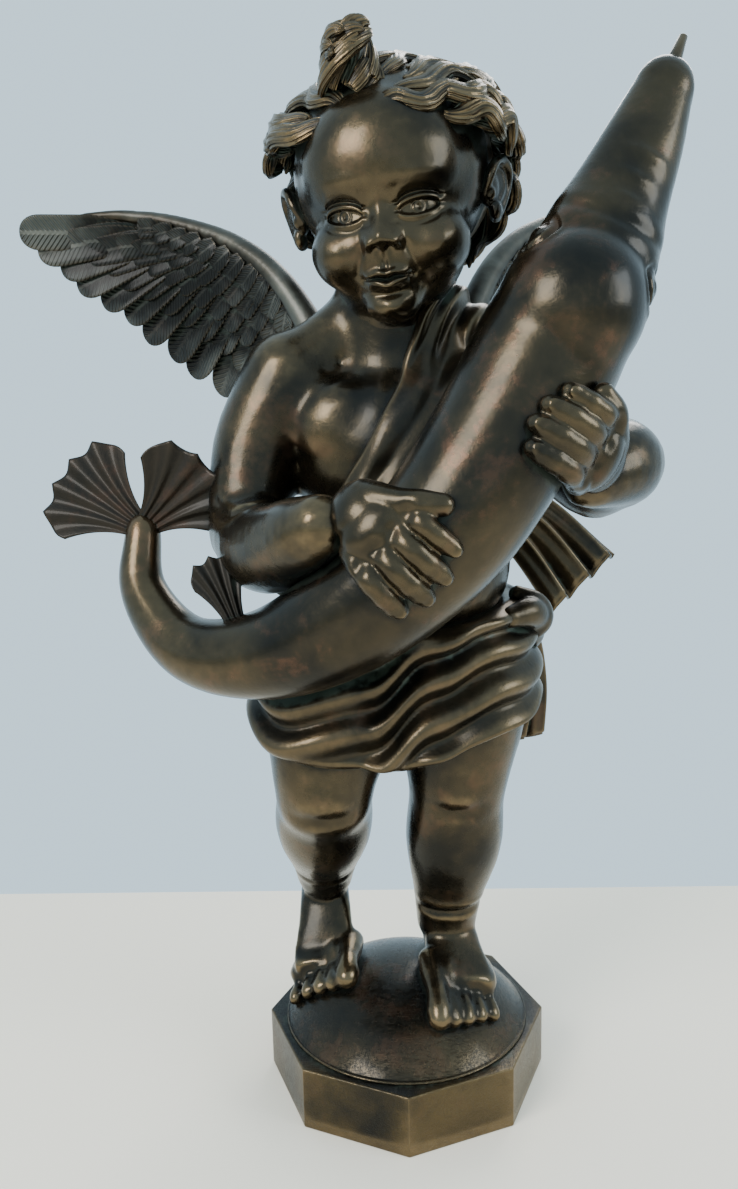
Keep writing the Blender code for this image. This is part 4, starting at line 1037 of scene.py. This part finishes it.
def makeDolphin():
    soft = Clay()
    soft.tube(dolphinRows, 12, 48)
    centre, _, along, front, side = dolphinFrame(dolphin["melon"])
    soft.egg(centre + front, (4.1, 4.1, 4.5), turnTo(side, front, along))
    clay = Clay()
    clay.add(soft.fused("dolphin", dolphin["voxel"], 6, 1))
    centre, _, eyeAhead, front, side = dolphinFrame(dolphin["eyes"])
    eyes = [(turn, centre + side * turn * 3.0 + front * 2.0) for turn in (-1, 1)]
    for _, eye in eyes:
        clay.egg(eye, dolphin["eyeRadius"])
    for jaw in jaws:
        clay.grid(jawLoops(*jaw))
    for share in dolphin["beakSteps"]:
        clay.tube([(*onDolphin(share, a, 0.06 - 0.42 * abs((a - 12) / 62) ** 3), 0.42)
                   for a in (-50, -30, -8, 12, 32, 54, 74)], 5)
    tip, radius, along = dolphinFrame(1.0)[:3]
    clay.egg(tip + along * (radius * dolphin["snout"] - 0.7), 0.85)
    mesh = clay.fused("dolphin", dolphin["fineVoxel"], 4)
    neck, _, along = dolphinFrame(dolphin["head"])[:3]
    finer(mesh, lambda points: (points - neck) @ along > 0)
    tree = surfaceOf(mesh)

    def skin(share, angle):
        centre, out = dolphinFrame(share)[0], wayOut(share, angle)
        return np.array(tree.ray_cast(Vector(centre + out * 12), Vector(-out), 12)[0])

    for turn, eye in eyes:
        mouth = [skin(share, turn * angle) for share, angle in dolphin["mouth"]]
        groove(mesh, mouth, 0.2, 0.3, 0.5)
        up = unitVector(front * 0.55 - side * turn * 0.83)
        groove(mesh, [eye + eyeAhead * 1.15 * cos(t) + up * 0.8 * sin(t)
                      for t in np.linspace(0, 2 * pi, 13)], 0.16, 0.16, 0.6)
    groove(mesh, [skin(0.772, angle) for angle in (-70, -35, 0, 35, 70)], 0.4, 0.12, 0.2)
    return mesh


# Cloth: a sash over the left shoulder, a cloth knotted round the hips, and their loose ends

cloth = {"sashWidth": 5.2, "sashThickness": 0.5, "sashPleats": 3, "sashRows": 120,
         "sashAcross": 49, "hipFolds": 3.4, "foldDepth": 0.5, "around": 260, "down": 44,
         "search": 14, "gap": 0.35, "thickness": 0.9, "knotVoxel": 0.16, "endRows": 72,
         "perPleat": 18}
sashPath = (
    (4.6, 5.4, 36.5), (4.9, 4.4, 40.6), (4.4, 1.4, 43.4), (3.6, -2.4, 42.4), (2.2, -5.0, 38.8),
    (-0.6, -5.9, 34.0), (-4.2, -5.4, 29.4), (-7.2, -2.4, 26.2), (-7.8, 1.4, 24.6))
knotTubes = (
    ((7.0, -3.0, 25.2, 0.7), (8.3, -1.9, 25.3, 1.0), (8.8, -0.5, 24.8, 1.05),
     (8.2, 1.0, 24.3, 0.7)),
    ((7.7, -0.9, 26.3, 0.6), (8.9, -0.9, 25.6, 0.85), (9.2, -0.7, 24.5, 0.85),
     (8.2, -0.5, 23.3, 0.6)),
    ((8.0, -1.6, 24.6, 0.6), (8.9, -0.2, 23.6, 0.7), (8.6, 1.2, 22.6, 0.75)))
looseEnds = (  # rows of x, y, z and a share of the width; facing, width, pleats, depth
    (((2.2, 5.2, 35.6, 0.45), (6.2, 7.0, 32.6, 0.7), (10.2, 7.6, 29.6, 1.0),
      (13.6, 7.2, 25.6, 1.3)), (0.3, -1, 0.4), 5.6, 3, 0.6),
    (((7.8, 0.6, 24.2, 0.5), (8.6, 3.2, 22.2, 0.8), (8.9, 5.6, 18.2, 1.1),
      (8.5, 6.4, 14.0, 1.25)), (0.8, -1, 0.2), 4.6, 3, 0.5))


def ridge(q):  # broad rounded folds with narrow valleys, -1 to 1
    return 2 * (0.5 + 0.5 * np.cos(2 * pi * q)) ** 0.7 - 1


def raised(heights):
    return heights[..., None] * np.array((0, 0, 1))


def eased(sheet, rounds, wrap=False):  # a grid of points or numbers, averaged both ways
    def mean(before, here, after):
        return 0.25 * before + 0.5 * here + 0.25 * after

    for _ in range(rounds):
        if wrap:
            sheet = mean(np.roll(sheet, 1, 0), sheet, np.roll(sheet, -1, 0))
        else:
            inside = mean(sheet[:-2], sheet[1:-1], sheet[2:])
            sheet = np.concatenate([sheet[:1], inside, sheet[-1:]])
        inside = mean(sheet[:, :-2], sheet[:, 1:-1], sheet[:, 2:])
        sheet = np.concatenate([sheet[:, :1], inside, sheet[:, -1:]], axis=1)
    return sheet


def gridNormals(sheet):
    normals = np.cross(np.gradient(sheet, axis=0), np.gradient(sheet, axis=1))
    return normals / np.maximum(np.linalg.norm(normals, axis=2), 1e-9)[:, :, None]


def makeSash(skin):
    rows = np.array([nearest(skin, p)[0] for p in smoothPath(sashPath, cloth["sashRows"])])
    rows = eased(rows[:, None, :].repeat(3, axis=1), 12)[:, 1]
    q = np.linspace(-1, 1, cloth["sashAcross"])
    sheet = []
    for centre, along in zip(rows, np.gradient(rows, axis=0)):
        out = nearest(skin, centre)[1]
        across = unitVector(np.cross(along, out))
        flat = [centre + across * a * cloth["sashWidth"] / 2 for a in q]
        sheet.append([nearest(skin, spot + out * 1.2)[0] for spot in flat])
    sheet = eased(np.array(sheet), 10)
    out = gridNormals(sheet)
    if out[len(rows) // 3, len(q) // 2, 1] > 0:  # on the chest it has to face forwards
        out = -out
    t = np.linspace(0, 1, len(rows))[:, None]
    drift = q + 0.1 * np.sin(6 * t) + 0.06 * np.sin(17 * t + 2 * q)
    folds = 0.3 * ridge(drift * cloth["sashPleats"] / 2 + 0.25) * (0.6 + 0.4 * np.sin(9 * t))
    edge = np.clip(1 - np.abs(q) ** 8, 0, 1) ** 0.5
    clay = Clay()
    clay.sheet(sheet + out * (0.2 + (cloth["sashThickness"] + folds) * edge)[:, :, None],
               sheet - out * 0.5)
    return clay.raw("sash")


def makeHipCloth(skin):
    a = np.linspace(0, 2 * pi, cloth["around"], endpoint=False)[:, None]
    share = np.linspace(0, 1, cloth["down"])[None, :]
    front, back = (0.5 + 0.5 * np.cos(a)) ** 1.6, (0.5 - 0.5 * np.cos(a)) ** 1.6
    top = 25.9 + 0.8 * np.sin(a) - 1.2 * front
    low = 21.4 - 5.4 * front + 0.8 * np.sin(a) - 2.6 * back
    z = top + (low - top) * share
    # the cloth lies round an egg-shaped ring, and over the skin where that stands further out
    middle = np.array((0.3, 0.3, 0))
    out = np.stack([np.sin(a), -np.cos(a), 0 * a], axis=2)
    long = np.where(out[..., 1] < 0, 5.6, 6.2)
    egg = 1 / np.sqrt((out[..., 0] / 7.4) ** 2 + (out[..., 1] / long) ** 2)
    reach = np.repeat(egg, cloth["down"], axis=1)
    search = cloth["search"]
    for i in range(cloth["around"]):
        for j in range(cloth["down"]):
            start = Vector(middle + out[i, 0] * search + (0, 0, z[i, j]))
            far = skin.ray_cast(start, Vector(-out[i, 0]), search)[3]
            if far is not None:
                reach[i, j] = max(reach[i, j], search - far + cloth["gap"])
    reach = eased(reach, 8, wrap=True)
    # folds swept towards the knot, a rolled top and a soft hem
    deep = (0.35 + 0.65 * front + 0.3 * back) * cloth["foldDepth"]
    drift = 0.7 * np.sin(a) + 0.18 * np.sin(3 * a + 1) + 0.07 * np.sin(8 * a)
    drift += 0.25 * np.sin(2 * a)
    folds = deep * ridge(share**0.85 * cloth["hipFolds"] + drift) * np.clip(share * 6, 0, 1)
    roll = 0.4 * bell(share - 0.08, 0.08) * (1 + 0.25 * np.sin(14 * a + 20 * share))
    hem = np.clip((1 - share) / 0.05, 0, 1) ** 0.5 * np.clip(share / 0.03, 0, 1) ** 0.5
    proud = reach + 0.1 + (0.45 + folds + roll) * hem
    outer = middle + out * proud[..., None] + raised(z + 0.15 * hem * np.sin(9 * a + 1))
    inner = middle + out * (reach - cloth["thickness"])[..., None] + raised(z)
    clay = Clay()
    clay.sheet(outer, inner[:, ::4], wrap=True)
    knot = Clay()
    for rows in knotTubes:
        knot.tube(rows)
    clay.add(knot.fused("knot", cloth["knotVoxel"], 3))
    return clay.raw("hip_cloth")


def pleatedTail(clay, rows, facing, width, pleats, depth):
    path = smoothPath(rows, cloth["endRows"])
    q = np.linspace(-1, 1, cloth["perPleat"] * pleats + 1)
    outer, inner = [], []
    for i, (row, along) in enumerate(zip(path, np.gradient(path[:, :3], axis=0))):
        t = i / (len(path) - 1)
        along = unitVector(along)
        across = unitVector(np.cross(along, facing))
        out = np.cross(across, along)
        warped = q + 0.09 * np.sin(3 * pi * q + 1 + t) + 0.05 * sin(4 * t)
        pleat = np.cos(pleats * pi * warped)
        wave = (0.12 + 0.88 * t) * depth * pleat + 0.5 * depth * np.sin(2.2 * q + 3 * t)
        reach = q * width * row[3] / 2 * (1 + 0.06 * sin(5 * t))
        half = 0.3 * np.clip(1 - np.abs(q) ** 14, 0.2, 1) * (1 if t < 0.98 else 0.5)
        flat = row[:3] + across * reach[:, None] - pleat[:, None] * along * (0.25 * t**5)
        outer.append(flat + out * (wave + half)[:, None])
        inner.append(flat + out * (wave - half)[:, None])
    clay.sheet(outer, inner)


def makeTails():
    clay = Clay()
    for end in looseEnds:
        pleatedTail(clay, *end)
    return clay.raw("cloth_tails")


# Dome, plinth and nozzle, in metres

def turnedMesh(name, profile, steps, place=level):  # profile: radius and height, axis to axis
    mesh = newMesh(name, [(r, 0, z) for r, z in profile],
                   [(i, i + 1) for i in range(len(profile) - 1)])
    obj = linked(name, mesh)
    modify(obj, "SCREW", steps=steps, render_steps=steps, use_merge_vertices=True,
           merge_threshold=0.00001)
    mesh = applied(obj)
    bm = bmesh.new()
    bm.from_mesh(mesh)
    bmesh.ops.recalc_face_normals(bm, faces=bm.faces)
    bm.to_mesh(mesh)
    bm.free()
    mesh.transform(place)
    return mesh


def makeDome():
    half = acos((domeBall - dome["height"]) / domeBall) * dome["arc"]
    profile = [(domeBall * sin(t), apex[2] - domeBall + domeBall * cos(t))
               for t in np.linspace(0, half, dome["rings"])]
    profile += [(dome["radius"] - inwards, domeLow + up) for inwards, up in dome["rim"]]
    return turnedMesh("dome", [*profile, (0, domeLow)], dome["steps"])


plinth = {"corner": 0.0012, "edge": 0.0011, "perSide": 9, "rows": 16, "rings": 14, "centre": 0.004,
          "cornerTurns": (11, 22.5, 34)}


def octagon(across, z):  # a ring with rounded corners, at half the width across flats
    r = min(plinth["corner"], across * 0.5)
    half = (across - r) * tan(pi / 8)
    ring = []
    for k in range(8):
        facing = radians(45 * k + 22.5)
        out = np.array((cos(facing), sin(facing)))
        along = np.array((-out[1], out[0])) * half
        ring += [across * out + along * q for q in np.linspace(-1, 1, plinth["perSide"])]
        for turn in plinth["cornerTurns"]:
            a = facing + radians(turn)
            ring.append((across - r) * out + along + r * np.array((cos(a), sin(a))))
    return [(x, y, z) for x, y in ring]


def makePlinth():
    (left, _, low), (right, _, high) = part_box("octagonal_plinth")
    across = (right - left) / 2 * cos(pi / 8)
    e = plinth["edge"]
    profile = [(across - 0.6 * e, low), (across - 0.2 * e, low + 0.2 * e), (across, low + 0.7 * e)]
    profile += [(across, z) for z in np.linspace(low + 2 * e, high - 2 * e, plinth["rows"])]
    profile += [(across - e + e * cos(a), high - e + e * sin(a))
                for a in np.linspace(0, pi / 2, 5)]
    profile += [(x, high) for x in np.linspace(across - 2 * e, plinth["centre"], plinth["rings"])]
    clay = Clay()
    clay.grid([octagon(x, z) for x, z in profile])
    return clay.raw("plinth")


nozzle = {"length": 0.020, "spigot": 0.006, "base": 0.0048, "tip": 0.0024, "bore": 0.0013,
          "lip": 0.0003, "steps": 48}


def makeNozzle():
    snout, radius, along = dolphinFrame(1.0)[:3]
    seat = Vector(apex) + Vector(snout + along * radius * dolphin["snout"]) * cm
    place = Matrix.Translation(seat) @ Vector(along).to_track_quat("Z", "Y").to_matrix().to_4x4()
    length, low, lip = nozzle["length"], -nozzle["spigot"], nozzle["lip"]
    base, tip, bore = nozzle["base"], nozzle["tip"], nozzle["bore"]
    profile = [(0, 0), (bore, 0), (bore, length - lip), (bore + lip, length), (tip - lip, length),
               (tip, length - 0.0004), (base - 0.0002, 0.0008), (base, 0), (base, low), (0, low)]
    return turnedMesh("nozzle", profile, nozzle["steps"], place)


# Wear and painted shade: how far each point stands proud, and how deep it lies among nearby parts,
# kept for the materials

wearAndShade = {"rounds": ((3, 1.0), (14, 0.5)), "reach": 0.045, "lift": 0.0007,
        "leans": ((0, 0, 0.15), (0, -0.5, 0.9)), "deepRounds": 4}


def relaxer(mesh):  # a function that eases values towards those of each point's neighbours
    ends = np.empty(len(mesh.edges) * 2, np.int32)
    mesh.edges.foreach_get("vertices", ends)
    a, b = ends[::2], ends[1::2]
    total = len(mesh.vertices)
    count = np.maximum(np.bincount(a, minlength=total) + np.bincount(b, minlength=total), 1)

    def relax(values, rounds):
        for _ in range(rounds):
            sums = np.stack([np.bincount(a, column[b], total) + np.bincount(b, column[a], total)
                             for column in values.T], axis=1)
            values = 0.4 * values + 0.6 * (sums / count[:, None])
        return values

    return relax


def addWearAndShade(mesh, around):
    points, normals = meshPoints(mesh), meshNormals(mesh)
    relax = relaxer(mesh)
    soft, proud = points, np.zeros(len(points))
    for rounds, share in wearAndShade["rounds"]:
        soft = relax(soft, rounds)
        proud += share * ((points - soft) * normals).sum(1) / cm
    # deep: how much nearby parts hide the point from rays cast out, forwards and up; the finishes
    # paint it as shade and as verdigris
    deep = np.zeros((len(points), 1))
    starts = points + normals * wearAndShade["lift"]
    for lean in wearAndShade["leans"]:
        ways = normals + np.array(lean)
        for i in range(len(points)):
            far = around.ray_cast(Vector(starts[i]), Vector(ways[i]), wearAndShade["reach"])[3]
            if far is not None:
                deep[i, 0] += 0.5 - 0.5 * far / wearAndShade["reach"]
    setAttribute(mesh, "proud", proud)
    setAttribute(mesh, "deep", relax(deep, wearAndShade["deepRounds"])[:, 0])


# Finishes

metal = {"bumpDepth": 0.00028, "metallic": 0.92, "coat": 0.16, "coatRoughness": 0.16}
# bronze colours; black is the ground's darkest tone and also the painted shade where nearby parts
# hide the surface
patinaAndShade = {"black": (0.0115, 0.011, 0.009, 1), "brown": (0.041, 0.0315, 0.0175, 1),
          "red": (0.080, 0.038, 0.023, 1), "gold": (0.28, 0.195, 0.098, 1),
          "green": (0.036, 0.058, 0.041, 1), "grey": (0.098, 0.103, 0.091, 1),
          "olive": (0.076, 0.053, 0.021, 1), "umber": (0.024, 0.019, 0.014, 1),
          "brass": (0.17, 0.13, 0.075, 1)}
finishes = {  # colour over black; how much rubbed gold, red and verdigris; roughness, grain
    "skin_bronze": ("brown", 0.42, 0.4, 0.3, 0.27, 1.0),
    "hair_bronze": ("brown", 0.42, 0.3, 0.55, 0.34, 1.2),
    "feather_bronze": ("grey", 0.1, 0.12, 0.3, 0.5, 1.0),
    "dolphin_bronze": ("brown", 0.2, 0.6, 0.3, 0.25, 1.0),
    "fin_bronze": ("umber", 0.02, 0.3, 0.3, 0.55, 2.2),
    "cloth_bronze": ("brown", 0.24, 0.3, 0.7, 0.36, 1.4),
    "dome_bronze": ("brown", 0.25, 0.4, 0.2, 0.26, 0.5),
    "plinth_bronze": ("olive", 0.4, 0.2, 0.5, 0.38, 1.4),
    "nozzle_bronze": ("brass", 0.2, 0.1, 0.2, 0.34, 1.0)}


class Paint(NodeMaker):  # a material and its nodes
    def __init__(self, name):
        self.material = bpy.data.materials.new(name)
        self.material.use_nodes = True
        self.tree = self.material.node_tree
        self.surface = self.tree.nodes["Principled BSDF"]

    def noise(self, scale, detail=3.0, stretch=(1, 1, 1), rough=0.55, twist=0.0):
        here = self.node("ShaderNodeTexCoord", out="Object")  # in metres
        place = self.node("ShaderNodeMapping", {}, {"Vector": here, "Scale": stretch})
        return self.node("ShaderNodeTexNoise", {}, {
            "Vector": place, "Scale": scale, "Detail": detail, "Roughness": rough,
            "Distortion": twist})

    def attribute(self, name, out="Fac"):
        return self.node("ShaderNodeAttribute", {"attribute_name": name}, {}, out)

    def step(self, value, low, high):
        settings = {"interpolation_type": "SMOOTHSTEP"}
        return self.node("ShaderNodeMapRange", settings, {0: value, 1: low, 2: high})

    def mix(self, share, a, b):
        return self.node("ShaderNodeMix", {"data_type": "RGBA"}, {0: share, 6: a, 7: b}, 2)

    def finish(self, colour, roughness, height, metallic):
        bump = self.node("ShaderNodeBump", {}, {
            "Strength": 1.0, "Distance": metal["bumpDepth"], "Height": height})
        for key, value in (("Base Color", colour), ("Roughness", roughness), ("Metallic", metallic),
                           ("Normal", bump), ("Coat Weight", metal["coat"]),
                           ("Coat Roughness", metal["coatRoughness"])):
            self.join(self.surface.inputs[key], value)
        return self.material


def strands(paint):  # fine lines that run along each lock
    x, y, _ = paint.parts(paint.attribute("strand", "Vector"))
    return (y.maths("ARCTAN2", x) * hair["strands"] + 5 * paint.noise(90, 2)).maths("SINE")


def barbs(paint):  # fine slanted lines on both sides of a feather's shaft
    x, along, _ = paint.parts(paint.attribute("feather", "Vector"))
    width, length, _ = paint.parts(paint.attribute("size", "Vector"))
    across = x.maths("ABSOLUTE")
    phase = (along * length - 0.75 * (across * width)) * 17
    return phase.maths("SINE") * paint.step(across, 0.06, 0.2)


def scratches(paint):
    lines = paint.noise(60, 2, (14, 1.2, 5)) - 0.5
    other = paint.noise(50, 2, (1.5, 12, 9), twist=0.4) - 0.5
    return paint.step(lines * lines, 0.0016, 0.0) + paint.step(other * other, 0.0010, 0.0)


def bronze(name):
    tone, gold, red, green, rough, grain = finishes[name]
    paint = Paint(name)
    proud, deep = paint.attribute("proud"), paint.attribute("deep")
    cloud, blotch, fleck = paint.noise(9, 4), paint.noise(26, 5, twist=0.6), paint.noise(170, 4)
    rubbed = paint.step(proud + 0.05 * (cloud - 0.5) + 0.03 * (fleck - 0.5) - 0.05 * deep,
                        0.012, 0.10)
    worn = paint.step(cloud + 0.25 * (blotch - 0.5), 0.42, 0.72)
    # the ground darkens towards black where nearby parts hide the point (deep): partly random tone,
    # partly painted shade
    ground = paint.mix(paint.step(cloud + 0.5 * (blotch - 0.5) - 0.5 * deep, 0.3, 0.68),
                       patinaAndShade["black"], patinaAndShade[tone])
    reddish = paint.step(blotch + 0.4 * (fleck - 0.5), 0.52, 0.72) * red
    ground = paint.mix(reddish, ground, patinaAndShade["red"])
    golden = (rubbed + 0.35 * worn) * (gold * (0.45 + 0.9 * fleck))
    ground = paint.mix(golden, ground, patinaAndShade["gold"])
    # painted shade: near black where nearby parts hide the point, and rougher there
    paintedShade = paint.step(deep - 0.5 * proud + 0.25 * (blotch - 0.5), 0.22, 0.7)
    ground = paint.mix(paintedShade * 0.75, ground, patinaAndShade["black"])
    bloom = paint.step(deep - proud + 0.8 * (fleck - 0.5) + 0.5 * (blotch - 0.5),
                       0.32, 0.62) * green
    ground = paint.mix(bloom, ground, patinaAndShade["green"])
    rough = rough + 0.16 * (blotch - 0.5) + 0.14 * (fleck - 0.5) - 0.05 * rubbed
    rough = rough + 0.18 * paintedShade + 0.2 * bloom
    height = (0.5 * paint.noise(420, 5, rough=0.6) + 0.6 * paint.noise(60, 2)) * grain
    if name == "hair_bronze":
        height = height + 1.3 * strands(paint)
    if name == "feather_bronze":
        height = height + 2.6 * barbs(paint)
    if name in ("plinth_bronze", "dome_bronze"):
        height = height - 1.2 * scratches(paint)
    return paint.finish(ground, rough, height, metal["metallic"] - 0.7 * bloom)


# Table top, lights and camera

table = {"reach": 30, "farEdge": 0.262, "colour": (0.96, 0.86, 0.71, 1), "roughness": 0.85}
studio = {"aim": (0, 0, 0.36), "sky": (0.60, 0.80, 0.93, 1), "skyStrength": 1.4}
lights = (  # name, place, size, watts, colour
    ("window", (-1.0, -1.05, 1.25), 0.8, 26, (1.0, 0.98, 0.95)),
    ("fill", (1.3, -0.5, 0.9), 0.7, 11, (0.86, 0.93, 1.0)),
    ("back", (0.5, 1.3, 1.5), 0.9, 14, (1.0, 0.98, 0.95)))
view = {"place": (-0.004, -0.652, 0.463), "down": 10.4, "turn": -1.4, "roll": -1.3,
        "focal": 1000, "height": 1189, "sensor": 24, "nearest": 0.02}


def makeFloor():  # a table top whose far edge lies behind the statue
    reach, far = table["reach"], table["farEdge"]
    corners = [(-reach, -reach, 0), (reach, -reach, 0), (reach, far, 0), (-reach, far, 0)]
    mesh = newMesh("floor", corners, [], [(0, 1, 2, 3)])
    paint = Paint("floor")
    paint.join(paint.surface.inputs["Base Color"], table["colour"])
    paint.join(paint.surface.inputs["Roughness"], table["roughness"])
    mesh.materials.append(paint.material)
    linked("floor", mesh)


def makeLights():
    for name, place, size, watts, colour in lights:
        lamp = bpy.data.lights.new(name, "AREA")
        lamp.size = size
        lamp.energy = watts
        lamp.color = colour
        obj = linked(name, lamp)
        obj.location = place
        ahead = Vector(studio["aim"]) - Vector(place)
        obj.rotation_euler = ahead.to_track_quat("-Z", "Y").to_euler()
    world = bpy.data.worlds.new("studio")
    world.use_nodes = True
    sky = world.node_tree.nodes["Background"].inputs
    sky["Color"].default_value = studio["sky"]
    sky["Strength"].default_value = studio["skyStrength"]
    bpy.context.scene.world = world


def makeCamera():
    data = bpy.data.cameras.new("camera")
    data.sensor_fit = "VERTICAL"
    data.sensor_height = view["sensor"]
    data.lens = view["focal"] / view["height"] * view["sensor"]
    data.clip_start = view["nearest"]
    camera = linked("camera", data)
    down, turn = radians(view["down"]), radians(view["turn"])
    ahead = Vector((sin(turn) * cos(down), cos(turn) * cos(down), -sin(down)))
    turned = ahead.to_track_quat("-Z", "Y").to_matrix() @ turnBy(view["roll"], "Z").to_3x3()
    camera.matrix_world = Matrix.Translation(view["place"]) @ turned.to_4x4()
    bpy.context.scene.camera = camera


# Assembly

paints = {name: bronze(name) for name in finishes}
pieces = []  # name, mesh in metres, material, slot and node


def addPiece(name, mesh, finish, slot="figure_bronze", node="putto_with_dolphin"):
    pieces.append((name, mesh, paints[finish], slot, node))


def addFigure(finish, *meshes):  # pieces of the figure, shaped in centimetres
    for name, mesh in meshes:
        mesh.transform(Matrix.Translation(apex) @ Matrix.Scale(cm, 4))
        addPiece(name, mesh, finish)


bodyMesh, legsMesh = makeBody(), makeLegs()
bodySkin = surfaceOf(bodyMesh, legsMesh)
addFigure("skin_bronze", ("head", makeHead()), ("ears", makeEars()),
          ("right_hand", makeHand(*hands[0])), ("left_hand", makeHand(*hands[1])))
print("The child is shaped")
addFigure("hair_bronze", ("hair", joined("hair", makeHair(paints["hair_bronze"]), makeHairCap())))
feathers = featherTree(paints["feather_bronze"])
addFigure("feather_bronze", ("right_wing", joined("right_wing", *makeWing(-1, feathers))),
          ("left_wing", joined("left_wing", *makeWing(1, feathers))))
print("Hair and wings are grown")
addFigure("dolphin_bronze", ("dolphin", makeDolphin()))
addFigure("fin_bronze", ("fins", makeFins()))
addFigure("cloth_bronze", ("sash", makeSash(bodySkin)), ("hip_cloth", makeHipCloth(bodySkin)),
          ("cloth_tails", makeTails()))
addFigure("skin_bronze", ("body", bodyMesh), ("legs", legsMesh))
addPiece("dome", makeDome(), "dome_bronze")
addPiece("plinth", makePlinth(), "plinth_bronze", "plinth_bronze", "octagonal_plinth")
addPiece("nozzle", makeNozzle(), "nozzle_bronze", "nozzle_bronze", "fountain_nozzle")
print("Dolphin, cloth and base are made")

allAround = surfaceOf(*[piece[1] for piece in pieces])
for name, mesh, material, slot, node in pieces:
    addWearAndShade(mesh, allAround)
    mesh.materials.clear()
    mesh.materials.append(material)
    mesh.shade_smooth()
    obj = linked(name, mesh)
    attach(obj, "root")
    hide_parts(node)
    print(name, "has", sum(len(face.vertices) - 2 for face in mesh.polygons), "triangles")

makeFloor()
makeLights()
makeCamera()
print("Floor, lights and camera are set")
